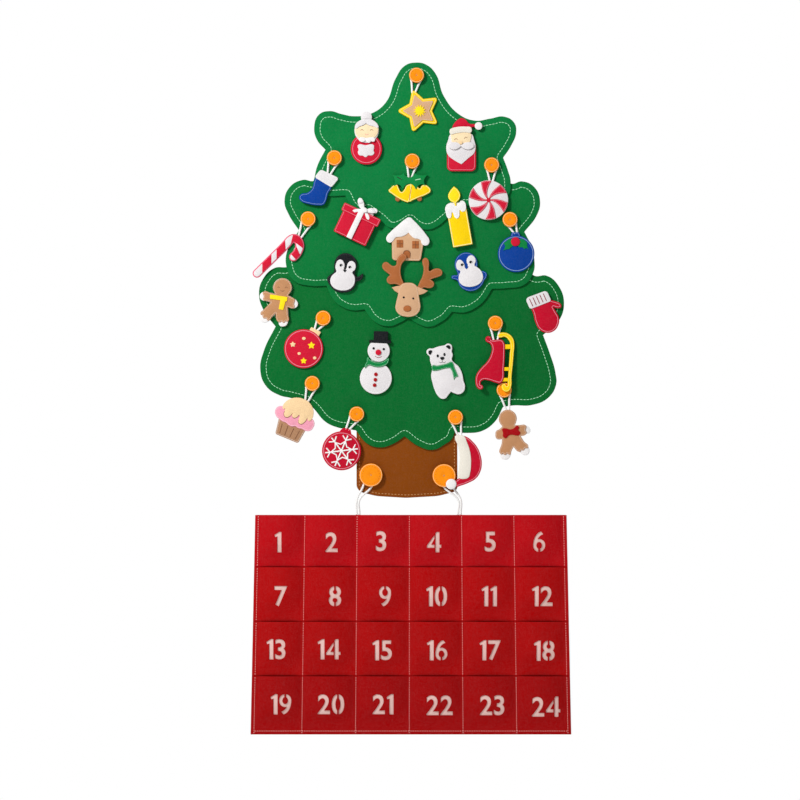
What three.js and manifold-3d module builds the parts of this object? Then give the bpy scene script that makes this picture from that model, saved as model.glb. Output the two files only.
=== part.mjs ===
// Felt advent calendar: a three-tier felt tree with 24 ornaments, and a panel of 24 numbered pockets below it.
// Millimetres, +Z up, front towards -Y. The origin is where the hook bears in the loop behind the tree's top.

import * as THREE from "three";
import { mergeVertices } from "three/addons/utils/BufferGeometryUtils.js";
import Module from "manifold-3d";

const wasm = await Module();
wasm.setup();

// Driving dimensions
const FELT = 3; // a tier, the trunk and the panel's backing
const PLY = 3; // the base ply of an ornament
const TRIM = 1; // a trim ply sewn on an ornament
const GAP = 0.3; // clearance between pieces that move on each other
const CORD = 3.2; // diameter of every cord

const STRAP = 1.6; // webbing of the hanging loop
const STRAP_WIDTH = 16;
const LOOP_OPENING = 22; // height of the loop's opening
const LOOP_SEAM = 12; // height of the sewn end below the opening

const SHANK = 3.8; // radius of a button's shank
const SHANK_SLACK = 0.3; // room in front of and behind the cord under a button
const LOOP_SLACK = 0.8; // room between a shank and the cord over it
const BUTTON = 10.5; // radius of a small button
const BUTTON_LAP = 1.5; // how far a small button reaches past the cord under it
const LOOP_BEND = BUTTON - BUTTON_LAP - CORD / 2; // radius of a cord's middle line over a shank
const BUTTON_THICK = 2.6;
const BIG_BUTTON = 16.2; // radius of a large button
const BIG_BUTTON_THICK = 3;

const PATCH = 1.2; // hook patch on the back of an ornament without a loop
const PATCH_SIDE = 15;
const NOTCH = 2.5; // how far a loop's ends go into an ornament
const NOTCH_FLARE = 0.32; // how fast the notch for them widens, on each side
const END_SPREAD = 1.8; // half the distance between a loop's two ends

const PANEL_TOP = -617.4;
const PANEL_TOP_WIDTH = 436;
const PANEL_BOTTOM_WIDTH = 449;
const PANEL_MIDDLE = -1.5; // x of the panel's centre line
const HEM = 4.5; // from the panel's edge to its outer seams
const STRIP = 2; // felt of the pocket strips
const ROWS = 4;
const COLUMNS = 6;
const FIRST_ROW = 72.8; // height of the top row of pockets
const ROW_HEIGHT = 76.3; // height of the rows below it
const FOOT_HEM = 5.6; // felt of the last row below its pockets
const PANEL_HEIGHT = FIRST_ROW + (ROWS - 1) * ROW_HEIGHT + FOOT_HEM;
const LEFT_POCKET = 65.1; // width of the first pocket of a row, at the top of the panel
const RIGHT_POCKET = 69.5; // width of the last pocket of a row
const SEAM_LAND = 2.5; // flat felt each side of a seam
const FOOT_LAND = 6; // flat felt along the foot of a strip
const POCKET_DEPTH = 7; // how far a pocket stands open at its mouth

const SAG = 0.55; // how far a chord of a rounded corner may fall inside its arc
const DISC_SAG = 0.35; // the same for a full disc
const TURN = Math.PI / 180;

// Planes, from the wall forwards
const WALL = 1.5 * FELT;
const TRUNK_FRONT = WALL - FELT;
const BOTTOM_FRONT = TRUNK_FRONT - FELT;
const MIDDLE_FRONT = BOTTOM_FRONT - FELT;
const TOP_FRONT = MIDDLE_FRONT - FELT;
const SHANK_LENGTH = CORD + 2 * SHANK_SLACK;

const GREEN = 0x00773a;
const RED = 0xc4122f;
const PANEL_RED = 0xaa0008;
const WHITE = 0xefecec;
const TAN = 0xd2a882;
const TRUNK_BROWN = 0x8a4a10;
const ORANGE = 0xff9a1e;
const YELLOW = 0xffd91a;
const BLUE = 0x10409a;
const BLACK = 0x1d1f22;
const PINK = 0xf0a0bc;

const calendar = new THREE.Group();

// Solids

function solid(geometry) {
  const bare = geometry.index ? geometry.toNonIndexed() : geometry.clone();
  bare.deleteAttribute("normal");
  bare.deleteAttribute("uv");
  const merged = mergeVertices(bare, 1e-4);
  return new wasm.Manifold(
    new wasm.Mesh({
      numProp: 3,
      vertProperties: merged.attributes.position.array,
      triVerts: new Uint32Array(merged.index.array),
    }),
  );
}

function joined(solids) {
  return solids.reduce((all, one) => all.add(one));
}

// A plate of felt: the outline seen from the front, with its back at y = back.
function plate(outline, back, thickness) {
  const geometry = new THREE.ExtrudeGeometry(new THREE.Shape(outline), {
    depth: thickness,
    bevelEnabled: false,
  });
  geometry.rotateX(Math.PI / 2);
  geometry.translate(0, back, 0);
  return solid(geometry);
}

function piece(name, made, colour, parent = calendar) {
  const { vertProperties, triVerts } = made.getMesh();
  const geometry = new THREE.BufferGeometry();
  geometry.setAttribute("position", new THREE.BufferAttribute(vertProperties, 3));
  geometry.setIndex(new THREE.BufferAttribute(triVerts, 1));
  geometry.computeVertexNormals();
  const felt = new THREE.MeshStandardMaterial({ color: colour, roughness: 0.95, metalness: 0 });
  const mesh = new THREE.Mesh(geometry, felt);
  mesh.name = name;
  parent.add(mesh);
  return mesh;
}

// Outlines, as points in x and z

function stepsOf(radius, sweep, sag = SAG) {
  const widest = 2 * Math.acos(Math.max(1 - sag / radius, 0));
  return Math.max(1, Math.ceil(sweep / widest));
}

function oval(x, z, wide, high, turn = 0) {
  const steps = Math.max(8, stepsOf(Math.max(wide, high), 2 * Math.PI, DISC_SAG));
  const curve = new THREE.EllipseCurve(x, z, wide, high, 0, 2 * Math.PI, false, turn);
  return curve.getPoints(steps).slice(0, -1);
}

function disc(x, z, radius) {
  return oval(x, z, radius, radius);
}

// A polygon whose corners are [x, z, radius of the corner].
function rounded(corners) {
  const points = [];
  corners.forEach(([x, z, radius = 0], i) => {
    const here = new THREE.Vector2(x, z);
    if (radius === 0) {
      points.push(here);
      return;
    }
    const [lastX, lastZ] = corners.at(i - 1);
    const [nextX, nextZ] = corners[(i + 1) % corners.length];
    const back = new THREE.Vector2(lastX, lastZ).sub(here);
    const ahead = new THREE.Vector2(nextX, nextZ).sub(here);
    const room = Math.min(back.length(), ahead.length()) / 2;
    back.normalize();
    ahead.normalize();
    const half = Math.acos(THREE.MathUtils.clamp(back.dot(ahead), -1, 1)) / 2;
    const reach = Math.min(radius / Math.tan(half), room);
    const used = reach * Math.tan(half);
    const inward = back.clone().add(ahead).normalize();
    const centre = here.clone().addScaledVector(inward, used / Math.sin(half));
    const start = here.clone().addScaledVector(back, reach).sub(centre);
    const end = here.clone().addScaledVector(ahead, reach).sub(centre);
    let sweep = end.angle() - start.angle();
    if (sweep > Math.PI) sweep -= 2 * Math.PI;
    if (sweep < -Math.PI) sweep += 2 * Math.PI;
    const steps = stepsOf(used, Math.abs(sweep));
    for (let step = 0; step <= steps; step++) {
      const turned = start.clone().rotateAround(new THREE.Vector2(), (sweep * step) / steps);
      points.push(turned.add(centre));
    }
  });
  return points;
}

// A bar of one width along a line of points, with round ends.
function stroke(line, radius) {
  const route = line.map(([x, z]) => new THREE.Vector2(x, z));
  const ways = route.slice(1).map((point, i) => point.clone().sub(route[i]).normalize());
  const offsets = route.map((point, i) => {
    const before = ways[Math.max(i - 1, 0)];
    const after = ways[Math.min(i, ways.length - 1)];
    const normal = before.clone().add(after).normalize();
    const reach = radius / normal.dot(after);
    return new THREE.Vector2(-normal.y, normal.x).multiplyScalar(reach);
  });
  const cap = (centre, start) => {
    const steps = stepsOf(radius, Math.PI);
    const arc = [];
    for (let step = 1; step < steps; step++) {
      const turned = start.clone().rotateAround(new THREE.Vector2(), (-Math.PI * step) / steps);
      arc.push(turned.add(centre));
    }
    return arc;
  };
  const left = route.map((point, i) => point.clone().add(offsets[i]));
  const right = route.map((point, i) => point.clone().sub(offsets[i])).reverse();
  const outline = [
    ...left,
    ...cap(route.at(-1), offsets.at(-1)),
    ...right,
    ...cap(route[0], offsets[0].clone().negate()),
  ];
  return outline.reverse();
}

function bar(x1, z1, x2, z2, radius) {
  return stroke([[x1, z1], [x2, z2]], radius);
}

function box(x1, z1, x2, z2, radius = 0) {
  return rounded([
    [x1, z1, radius],
    [x2, z1, radius],
    [x2, z2, radius],
    [x1, z2, radius],
  ]);
}

function starOutline(x, z, tips, outer, inner, firstTip, tipRadius) {
  const corners = [];
  for (let i = 0; i < 2 * tips; i++) {
    const reach = i % 2 ? inner : outer;
    const angle = firstTip + (i * Math.PI) / tips;
    corners.push([x + reach * Math.cos(angle), z + reach * Math.sin(angle), i % 2 ? 0 : tipRadius]);
  }
  return rounded(corners);
}

// Smooth stretches that meet in sharp notches. Each stretch starts at the last point of the one before it.
function scalloped(stretches) {
  const points = [];
  stretches.forEach((stretch, i) => {
    const start = stretches.at(i - 1).at(-1);
    const knots = [start, ...stretch].map(([x, z]) => new THREE.Vector3(x, z, 0));
    const curve = new THREE.CatmullRomCurve3(knots, false, "centripetal");
    const steps = 2 * (knots.length - 1);
    for (let step = 0; step < steps; step++) {
      const { x, y } = curve.getPoint(step / steps);
      points.push(new THREE.Vector2(x, y));
    }
  });
  return points;
}

// Tree: three tiers and the trunk, each lower piece tucked behind the one above

const TOP_TIER = [
  [[19.6, 12.6], [32.9, 0], [44.1, -30.8], [64.4, -56], [88.2, -65.8], [109.2, -63], [128.8, -60.2],
    [142.8, -68.6], [145.6, -82.6], [138.6, -100.8], [127.4, -117.6]],
  [[133.7, -134.4], [137.9, -151.2], [134.4, -170.8], [116.2, -180.6], [92.4, -184.8], [72.8, -184.8]],
  [[58.8, -194.6], [47.6, -204.4], [35, -214.2], [21.7, -218.4], [8.4, -215], [-2.8, -206]],
  [[-14, -213], [-29.4, -216], [-44.8, -204], [-61.6, -191.8]],
  [[-72.8, -194.6], [-84, -187.6], [-93.2, -170.8]],
  [[-121.8, -170], [-137.2, -160], [-135.8, -142.8], [-132.3, -128.8], [-121.1, -106.4]],
  [[-133, -92.4], [-136.8, -75.6], [-130.2, -57.4], [-115.5, -52.4], [-98, -56.7], [-81.2, -59.6],
    [-57.4, -56], [-36.4, -40], [-22.8, -6.6], [-9.8, 11.2], [6, 15.4]],
];

const MIDDLE_TIER = [
  [[131.6, -142.8]],
  [[137.9, -153.3], [154, -150.5], [170.8, -158.2], [179.2, -178.5], [174.4, -198.4], [157.2, -221.2]],
  [[166.6, -240.8], [171.4, -263.2], [170.1, -277.2], [158.2, -294.7], [131.6, -300.2], [112, -301]],
  [[102.2, -316.4], [92.4, -325.5], [74.2, -333.9], [56, -333.2]],
  [[49, -341.6], [42, -346.8], [23.8, -354.2], [8.4, -350], [-4.8, -341.2]],
  [[-16, -348], [-33.6, -353.5], [-53.9, -345.8], [-66.2, -330]],
  [[-82.6, -331.1], [-98, -326.2], [-109.8, -316.4], [-119.7, -296.8]],
  [[-142.8, -296.8], [-165.2, -289.8], [-175.6, -270.2], [-175, -249.2], [-158.2, -219]],
  [[-172.2, -197.4], [-178.4, -178.5], [-170.8, -158.2], [-152.6, -148.4], [-137.2, -149.8],
    [-128.8, -142.8]],
];

const BOTTOM_TIER = [
  [[156.8, -263.2]],
  [[170.8, -282.1], [188.6, -282.4], [204.4, -295.4], [212.8, -322], [204.4, -347.2], [183.4, -365.4]],
  [[192.6, -390.2], [200.9, -418.6], [201.6, -435.4], [190.4, -453.6], [168, -463.4], [141.4, -464.1],
    [127.4, -466.2]],
  [[116.2, -486.6], [98, -499.8], [77, -502.6], [60.2, -501.2]],
  [[56, -511], [46.2, -518.6], [28.7, -526.4], [8.4, -520.8], [-10.4, -507.5]],
  [[-25.2, -517.4], [-44.8, -523], [-63, -517.4], [-78.4, -499.1]],
  [[-89.6, -497], [-103, -495.2], [-120.8, -487.2], [-139, -467], [-148.4, -459.2]],
  [[-169.4, -453.6], [-186, -449.6], [-204.4, -436.8], [-212.4, -414.4], [-207, -386.4], [-191, -353.6]],
  [[-207.2, -331.8], [-214.2, -308], [-208.6, -287], [-192.4, -271.6], [-175, -270.2], [-156.8, -263.2]],
];

const TRUNK_FOOT = -593.5;
const TRUNK = rounded([
  [-77.7, -450],
  [63, -450],
  [63.8, -584, 9],
  [36, -591, 60],
  [-8.4, TRUNK_FOOT, 60],
  [-50, -591, 60],
  [-77.7, -584, 12],
]);

function buttonProfile(radius, thickness, root) {
  const underside = -SHANK_LENGTH;
  const face = underside - thickness;
  return [
    [0, face],
    [radius, face],
    [radius, underside],
    [SHANK, underside],
    [SHANK, root],
    [0, root],
  ].map(([r, y]) => new THREE.Vector2(r, y));
}

// A button of felt whose shank stands on the felt at y = front, with its root that far inside the felt.
function button(x, front, z, radius, thickness, root = 0) {
  const sides = stepsOf(radius, 2 * Math.PI, DISC_SAG);
  const geometry = new THREE.LatheGeometry(buttonProfile(radius, thickness, root), sides);
  geometry.translate(x, front, z);
  return solid(geometry);
}

const BIG_BUTTONS = { left: [-57.4, -561.4], right: [44.8, -562.2] };

function trunkWithButtons() {
  const felt = plate(TRUNK, WALL, FELT);
  const buttons = Object.values(BIG_BUTTONS).map(([x, z]) =>
    button(x, TRUNK_FRONT, z, BIG_BUTTON, BIG_BUTTON_THICK, FELT / 2),
  );
  return joined([felt, ...buttons]);
}

// A loop of webbing behind the tree's top, sewn below its opening, that a hook or a rod goes through.
function hangingLoop() {
  const room = 3 * FELT - 2 * STRAP;
  const outline = rounded([
    [-WALL, STRAP, 0],
    [WALL, STRAP, 2.4],
    [WALL, -LOOP_OPENING, 2.4],
    [-WALL + STRAP, -LOOP_OPENING - STRAP, 0],
    [-WALL + STRAP, -LOOP_OPENING - STRAP - LOOP_SEAM, 0],
    [-WALL, -LOOP_OPENING - STRAP - LOOP_SEAM, 0],
  ]);
  const shape = new THREE.Shape(outline);
  const inside = rounded([
    [-room / 2, 0, 1],
    [room / 2, 0, 1],
    [room / 2, -LOOP_OPENING, 1],
    [-room / 2, -LOOP_OPENING, 1],
  ]);
  shape.holes.push(new THREE.Path(inside.reverse()));
  const geometry = new THREE.ExtrudeGeometry(shape, { depth: STRAP_WIDTH, bevelEnabled: false });
  // The outline is drawn in y and z, and runs along x.
  const toFrame = new THREE.Matrix4().set(0, 0, 1, -STRAP_WIDTH / 2, 1, 0, 0, 0, 0, 1, 0, 0, 0, 0, 0, 1);
  geometry.applyMatrix4(toFrame);
  return solid(geometry);
}

piece("trunk", trunkWithButtons(), TRUNK_BROWN);
piece("tree_tier_bottom", plate(scalloped(BOTTOM_TIER), TRUNK_FRONT, FELT), GREEN);
piece("tree_tier_middle", plate(scalloped(MIDDLE_TIER), BOTTOM_FRONT, FELT), GREEN);
piece("tree_tier_top", plate(scalloped(TOP_TIER), MIDDLE_FRONT, FELT), GREEN);
piece("hanging_loop", hangingLoop(), GREEN);

// Ornaments, each in its own frame: its back at y = 0, its front towards -y

// A base ply with as many trim plies on it as its level says.
function raised(level, ...outlines) {
  return outlines.map((outline) => plate(outline, 0, PLY + level * TRIM));
}

function base(...outlines) {
  return raised(0, ...outlines);
}

// Trim that lies inside the outline of what it is sewn on.
function trim(level, ...outlines) {
  const seat = PLY / 2;
  return outlines.map((outline) => plate(outline, -seat, PLY - seat + level * TRIM));
}

function recess(...outlines) {
  return outlines.map((outline) => plate(outline, TRIM - PLY, 2 * TRIM));
}

function without(made, cutters) {
  return cutters.reduce((left, cutter) => left.subtract(cutter), made);
}

function star() {
  const up = 108 * TURN;
  return joined([
    ...base(starOutline(0, 0, 5, 32.5, 17.5, up, 3.5)),
    ...trim(1, starOutline(0, 0, 5, 24.5, 13.5, up, 1.5)),
    ...trim(2, starOutline(0, 0, 12, 9, 6.8, 0, 0)),
  ]);
}

function whiteHairedFigure() {
  const collar = rounded([
    [-12, 20, 4], [-13, 12, 4], [-7, 9.5, 4], [0, 13, 1], [7, 9.5, 4], [13, 12, 4], [12, 20, 4],
  ]);
  const apron = rounded([
    [-11.5, 5.5, 3], [11.5, 5.5, 3], [12, -6, 4], [7, -10, 3], [0, -11.5, 4], [-7, -10, 3], [-12, -6, 4],
  ]);
  return joined([
    ...base(disc(0, 0, 21.8)),
    ...raised(1, disc(0.3, 25.5, 17), disc(0, 44.2, 7.7)),
    ...trim(1, apron),
    ...trim(2, collar),
  ]);
}

function beardedFigure() {
  const cap = rounded([
    [-16.5, 20, 0], [-16, 30, 9], [-4, 38.5, 12], [8, 37, 10], [22, 27, 3], [14.5, 20, 0],
  ]);
  const beard = rounded([
    [-15, 14, 6], [-21, 2, 9], [-17, -12, 9], [0, -30, 9], [17, -12, 9], [20.5, 2, 9], [14.5, 14, 6],
  ]);
  return joined([
    ...base(box(-20, -37.2, 20, 4, 7), cap),
    ...raised(1, beard, disc(23.9, 25.9, 5.3)),
    ...trim(2, box(-16.5, 13.5, 14.5, 24.6, 4)),
  ]);
}

function stocking() {
  const cuff = rounded([[-8.5, 14.5, 3], [1.5, 25.5, 4], [27, 12.5, 3], [17, 0.5, 3]]);
  const foot = rounded([
    [-3.5, 14, 0], [-9.4, 0.8, 6], [-14.4, -5.6, 8], [-27, -9.5, 5], [-28.5, -15.5, 5], [-20, -20.5, 8],
    [3.5, -23.5, 8], [11.2, -5.6, 12], [17, 3, 0], [8, 16, 0],
  ]);
  return joined([...base(foot), ...raised(1, cuff)]);
}

function bells() {
  const left = rounded([
    [3, 9, 4], [-6, 3, 8], [-11, -3, 4], [-19, 7.5, 6], [-29.5, 0, 3], [-16, -12, 8], [-2.7, -18.5, 4], [2, -12, 0],
  ]);
  const right = rounded([
    [2, 9, 4], [11, 7, 6], [14, 2, 4], [20, 7.5, 7], [30, -1.8, 3], [14, -11, 10], [0, -16.5, 3], [1, -4, 0],
  ]);
  const holly = rounded([
    [-24, 20.5, 0], [-13, 20, 0], [-8, 23, 0], [0, 17, 3], [8, 23, 0], [14, 20, 0], [25, 20.5, 0],
    [20, 12, 2], [22, 5, 0], [13, 6, 3], [9, 0, 0], [0, 8, 3], [-9, 0, 0], [-13, 6, 3], [-22, 5, 0],
    [-20, 12, 2],
  ]);
  return joined([
    ...base(disc(-16, -12, 3.5), disc(13.5, -12.5, 3.5)),
    ...raised(1, left, right),
    ...raised(2, holly),
  ]);
}

const PEPPERMINT = 27.6;

function peppermint() {
  const rim = PEPPERMINT - 0.8;
  const hub = 2.2;
  const twist = 24 * TURN;
  const blades = [];
  for (let blade = 0; blade < 6; blade++) {
    const atRim = (97 + 60 * blade) * TURN;
    const edge = (side) =>
      [0, 0.34, 0.67, 1].map((share) => {
        const reach = THREE.MathUtils.lerp(hub, rim, share);
        const half = THREE.MathUtils.lerp(14, 15.5, share) * TURN;
        const angle = atRim + twist * (1 - share) + side * half;
        return new THREE.Vector2(reach * Math.cos(angle), reach * Math.sin(angle));
      });
    const outer = new THREE.Vector2(rim * Math.cos(atRim), rim * Math.sin(atRim));
    blades.push([...edge(-1), outer, ...edge(1).reverse()]);
  }
  return joined([...base(disc(0, 0, PEPPERMINT)), ...trim(1, disc(0, 0, hub + 0.6), ...blades)]);
}

function gift() {
  const lid = box(-28.5, 0, 28.5, 11.5, 1.5);
  const ribbon = box(-5, -31, 3, 11.3);
  const knot = disc(1.6, 14, 4.5);
  const loops = [bar(0, 14, -10.6, 23.5, 4.2), bar(3, 14, 15.5, 20.5, 4.2)];
  const tails = [bar(0, 13, -10, 9, 2), bar(3, 13, 13, 7.5, 2)];
  return joined([
    ...base(box(-24.7, -31.3, 24.7, 3, 1.5)),
    ...raised(1, lid, knot, ...loops),
    ...trim(1, ribbon, ...tails),
  ]);
}

function candle() {
  const body = box(-14, -23, 13.6, 26, 1);
  const wax = rounded([
    [-16.5, 24, 4], [-14.5, 38, 7], [-4.5, 38.5, 6], [0, 33.5, 1], [6, 40.5, 5], [13.5, 38.5, 6], [14.2, 27, 4],
    [9.5, 23, 3], [5.5, 22, 3], [3.6, 25.5, 0], [2.5, 17, 3], [-4.5, 15.5, 3], [-6.5, 25, 0], [-9, 18.5, 3],
    [-15, 17.5, 3],
  ]);
  const flame = rounded([[1.8, 61.5, 2], [8.8, 49, 8], [5, 41, 7], [-0.5, 34, 0], [-7, 42, 7], [-8.6, 50, 8]]);
  return joined([...base(body, flame), ...raised(1, wax)]);
}

function house() {
  const roof = rounded([
    [2.1, 41, 4], [17, 25.5, 30], [31.5, 8, 6], [24, -4, 6], [17.5, 6.5, 0], [10, 8.6, 10], [0.7, 17.2, 0],
    [-9, 11, 12], [-18.5, 9, 0], [-25, 0.5, 6], [-32.5, 10.5, 6], [-20, 22.5, 30],
  ]);
  const walls = rounded([
    [-22.2, -21.8, 5], [17.6, -22.3, 4], [21.6, 2, 0], [21.6, 10, 0], [1.4, 26, 0], [-22.6, 10, 0],
  ]);
  const windows = [box(-16.5, -3.5, -7.5, 6.5), box(6.5, -4.5, 15.5, 5.5)];
  const door = rounded([[-6, -18, 0], [3.6, -18, 0], [3.6, -8.5, 4.5], [-6, -8.5, 4.5]]);
  return without(joined([...base(walls), ...raised(1, roof)]), recess(...windows, door));
}

function reindeer() {
  const face = rounded([
    [-12, 21, 9], [0, 26, 14], [13, 21, 9], [15, 6, 10], [18.5, -12, 10], [10, -23, 12], [-10, -23, 12],
    [-18.5, -11, 10], [-14, 6, 10],
  ]);
  const ears = [
    rounded([[-9, 20, 0], [-22.5, 17, 1], [-12, 8, 2]]),
    rounded([[10, 20, 0], [27.8, 12, 1], [13.5, 6.5, 2]]),
  ];
  const antlers = [
    stroke([[-9, 20], [-14.2, 36], [-13.8, 48], [-10.2, 56], [-6, 59.5]], 4.3),
    stroke([[-14.2, 36], [-22, 42], [-30.5, 47.2]], 5.5),
    bar(-11, 27.5, -24.6, 27, 5),
    stroke([[15.5, 20], [23.6, 33], [25.6, 45], [24.3, 54.5]], 4.2),
    stroke([[23.6, 33], [32, 36.3], [42.5, 38.2]], 5.3),
    bar(18, 24, 31.4, 20.8, 4.6),
  ];
  return joined([
    ...base(...antlers),
    ...raised(1, face, ...ears),
    ...trim(2, oval(-0.7, -12, 5.2, 3.9)),
  ]);
}

// A penguin, looking to its left for side = 1 and to its right for side = -1.
function penguin(side) {
  const body = [oval(-1 * side, -2.8, 18.8, 17.6), oval(2.4 * side, 18.2, 15.9, 16.2)];
  const wing = side > 0 ? bar(12, -1, 21.5, 2.8, 3.6) : bar(-12, 0.5, -22.5, 3.2, 2.8);
  const shoulder = disc(-18 * side, -1, 5.2);
  const belly = oval(-1 * side, -4.6, 17, 14.4);
  const eyes = [oval(-5.4 * side, 16.4, 6.4, 8.2, 0.2 * side), oval(9.4 * side, 14.6, 6.4, 8.2, -0.2 * side)];
  return joined([...base(...body, wing, shoulder), ...trim(1, belly, ...eyes)]);
}

function gingerbread({ head, arms, feet, hip, collar }) {
  const [headX, headZ] = head;
  const [[leftArmX, leftArmZ], [rightArmX, rightArmZ]] = arms;
  const limbs = feet.map(([x, z]) => bar(hip[0], hip[1], x, z, 6.9));
  return joined([
    ...base(
      disc(headX, headZ, 12.5),
      bar(leftArmX, leftArmZ, rightArmX, rightArmZ, 6.4),
      bar(headX * 0.4, headZ * 0.4, hip[0], hip[1], 8.6),
      ...limbs,
    ),
    ...trim(1, ...collar),
  ]);
}

function redBall() {
  const cap = rounded([[7, 24, 0], [10.6, 30.6, 1], [24.4, 23.4, 1], [21, 16.5, 0]]);
  const stars = [
    starOutline(11, 4.6, 5, 5.4, 3, 90 * TURN, 0),
    starOutline(-15, 6, 5, 4, 2.3, 90 * TURN, 0),
    starOutline(0.1, -17, 5, 4.6, 2.6, 90 * TURN, 0),
  ];
  const dots = [disc(0.4, 14.4, 2.6), disc(-6.2, -6.7, 2.4), disc(15.5, -12.9, 2.4)];
  return joined([...base(cap, disc(0, 0, 27.3)), ...trim(1, ...stars, ...dots)]);
}

function blueBall() {
  const neck = rounded([[-8.5, 22, 0], [-6.5, 30.2, 2], [4.5, 30.2, 2], [7, 22, 0]]);
  const leaves = rounded([
    [-17.5, 14.5, 0], [-8.5, 21.5, 5], [-1, 17, 0], [7.5, 21.5, 5], [15, 17, 0], [15.5, 6.5, 0], [8.5, 7.5, 3],
    [2.5, 11.5, 0], [-5, 11.5, 0], [-10, 6.5, 3], [-17.5, 5, 0],
  ]);
  return joined([
    ...base(neck, disc(0, 0, 25.6)),
    ...trim(1, leaves),
    ...trim(2, disc(-1, 16.8, 6.3)),
  ]);
}

function candyCane() {
  const stick = bar(-32, -33, 12, 10.5, 6.2);
  const crook = stroke(
    [[9.5, 8.5], [14.3, 13.8], [19.4, 16], [24.4, 14], [27.3, 9], [27.6, 4], [25.6, -2], [22.6, -6.6], [19, -10]],
    5.9,
  );
  return joined(base(stick, crook));
}

function sleigh() {
  const body = rounded([
    [-11, 27, 3], [-2, 28.5, 2], [12, 27.5, 3], [13.5, 9, 4], [10.5, -30, 3], [-17, -25.5, 5], [-18.5, -31, 3],
    [-26, -29, 4], [-28, -21, 8], [-18, -12, 12], [-7, 4, 12], [-4.5, 15, 12],
  ]);
  const curls = [disc(-9.2, 30, 4.8), bar(-24, -28, -20, -36, 4.2)];
  const front = [[9.4, 36], [14.5, 36.2], [21, 32], [23.8, 25]];
  const foot = [[22.4, -30], [19.5, -36.5], [12.5, -35.5]];
  const runner = stroke([...front, ...foot], 3.2);
  const struts = [21, -11.2, -25.5].map((z) => bar(8, z, 23, z, 2.6));
  return joined([...base(runner, ...struts), ...raised(1, body, ...curls)]);
}

function mitten() {
  const cuff = rounded([[-24, 19, 5], [6.5, 30.5, 5], [13.2, 15, 4], [-16.5, 3.2, 4]]);
  const hand = rounded([
    [-17, 5, 0], [13, 17, 0], [22, 15.5, 8], [28, 8.5, 3], [23, 4, 3], [15.5, 6.5, 2], [24, -11, 14],
    [18, -28, 14], [2, -29.5, 12], [-8.5, -21, 14],
  ]);
  return joined([...base(hand), ...raised(1, cuff)]);
}

function snowman() {
  const hat = [
    rounded([[-9.8, 34.6, 1], [20.8, 32.6, 1], [20.5, 28.6, 1], [-10, 30.6, 1]]),
    rounded([[-2.6, 48, 1], [16.4, 46.8, 1], [15.4, 31, 0], [-3.4, 32, 0]]),
  ];
  const scarf = rounded([
    [-12, 12.5, 0], [-9.5, 9, 2], [2, 4, 8], [14, 8.5, 2], [17.5, 13, 2], [16, 3, 3], [2, -2.5, 12],
    [-6, -0.5, 3], [-14.5, -5, 0], [-16, 1, 0],
  ]);
  const buttons = [[0.3, -13.2], [-0.8, -20.6], [-2.1, -28.4]].map(([x, z]) => disc(x, z, 2.6));
  return joined([
    ...base(disc(-0.4, -18.6, 22.6), disc(3.6, 19.3, 15.6)),
    ...raised(1, ...hat, scarf),
    ...trim(1, ...buttons, disc(3.4, 17.1, 4)),
  ]);
}

function polarBear() {
  const body = rounded([
    [-17, 18, 6], [-22, 0, 10], [-17, -22, 12], [-10, -34, 8], [1, -34, 8], [7.5, -21, 2], [21, -27.5, 8],
    [28, -18, 9], [23, -1, 12], [12, 18, 8],
  ]);
  const scarf = rounded([
    [-20, 13, 2], [-8, 13, 6], [9, 18, 4], [14, 14, 4], [20, -2, 2], [14, -4, 1], [11, 3, 3],
    [6, 12, 3], [-6, 6.5, 6], [-20, 6, 2],
  ]);
  const ears = [disc(-20.5, 30, 6.2), disc(5, 36.5, 6.2)];
  return joined([
    ...base(body, oval(-6.6, 27.2, 15.6, 13.4, 0.12), ...ears),
    ...raised(1, scarf),
    ...trim(1, oval(-5.8, 22, 2.8, 2)),
  ]);
}

function cupcake() {
  const wrapper = rounded([[-21, -8, 0], [21, -8, 0], [17.5, -31, 3], [-17, -31, 3]]);
  const frosting = rounded([
    [-28, 8, 7], [28, 8, 7], [28.8, -4.5, 7], [20, -11, 5], [9, -10.5, 8], [0, -13, 8], [-9, -10.5, 8],
    [-20, -11, 5], [-28.8, -4.5, 7],
  ]);
  const icing = rounded([
    [-22, 8, 3], [-20, 21, 10], [-8, 29, 12], [8, 29, 12], [20, 21, 10], [23, 7, 4], [18, 3, 3], [14, 8, 0],
    [12, -3, 3], [4, -3, 3], [2, 6, 0], [-2, -1, 3], [-8, 2, 2], [-9, 8, 0], [-12, -2, 3], [-19, 0, 3],
  ]);
  return joined([...base(wrapper), ...raised(1, frosting), ...raised(2, icing)]);
}

function snowflakeBall() {
  const neck = rounded([[-3, 25.6, 0], [2, 31.8, 3], [12.5, 29.8, 3], [14, 22, 0]]);
  const flake = [];
  const at = (reach, angle) => [reach * Math.cos(angle), reach * Math.sin(angle)];
  for (let arm = 0; arm < 6; arm++) {
    const angle = (8 + 60 * arm) * TURN;
    if (arm < 3) flake.push(bar(...at(21, angle), ...at(-21, angle), 0.9));
    const fork = [at(20, angle + 0.22), at(14.5, angle), at(20, angle - 0.22)];
    flake.push(stroke(fork, 0.9));
  }
  return joined([...base(neck, disc(0, 0, 27.3)), ...trim(1, ...flake)]);
}

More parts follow.
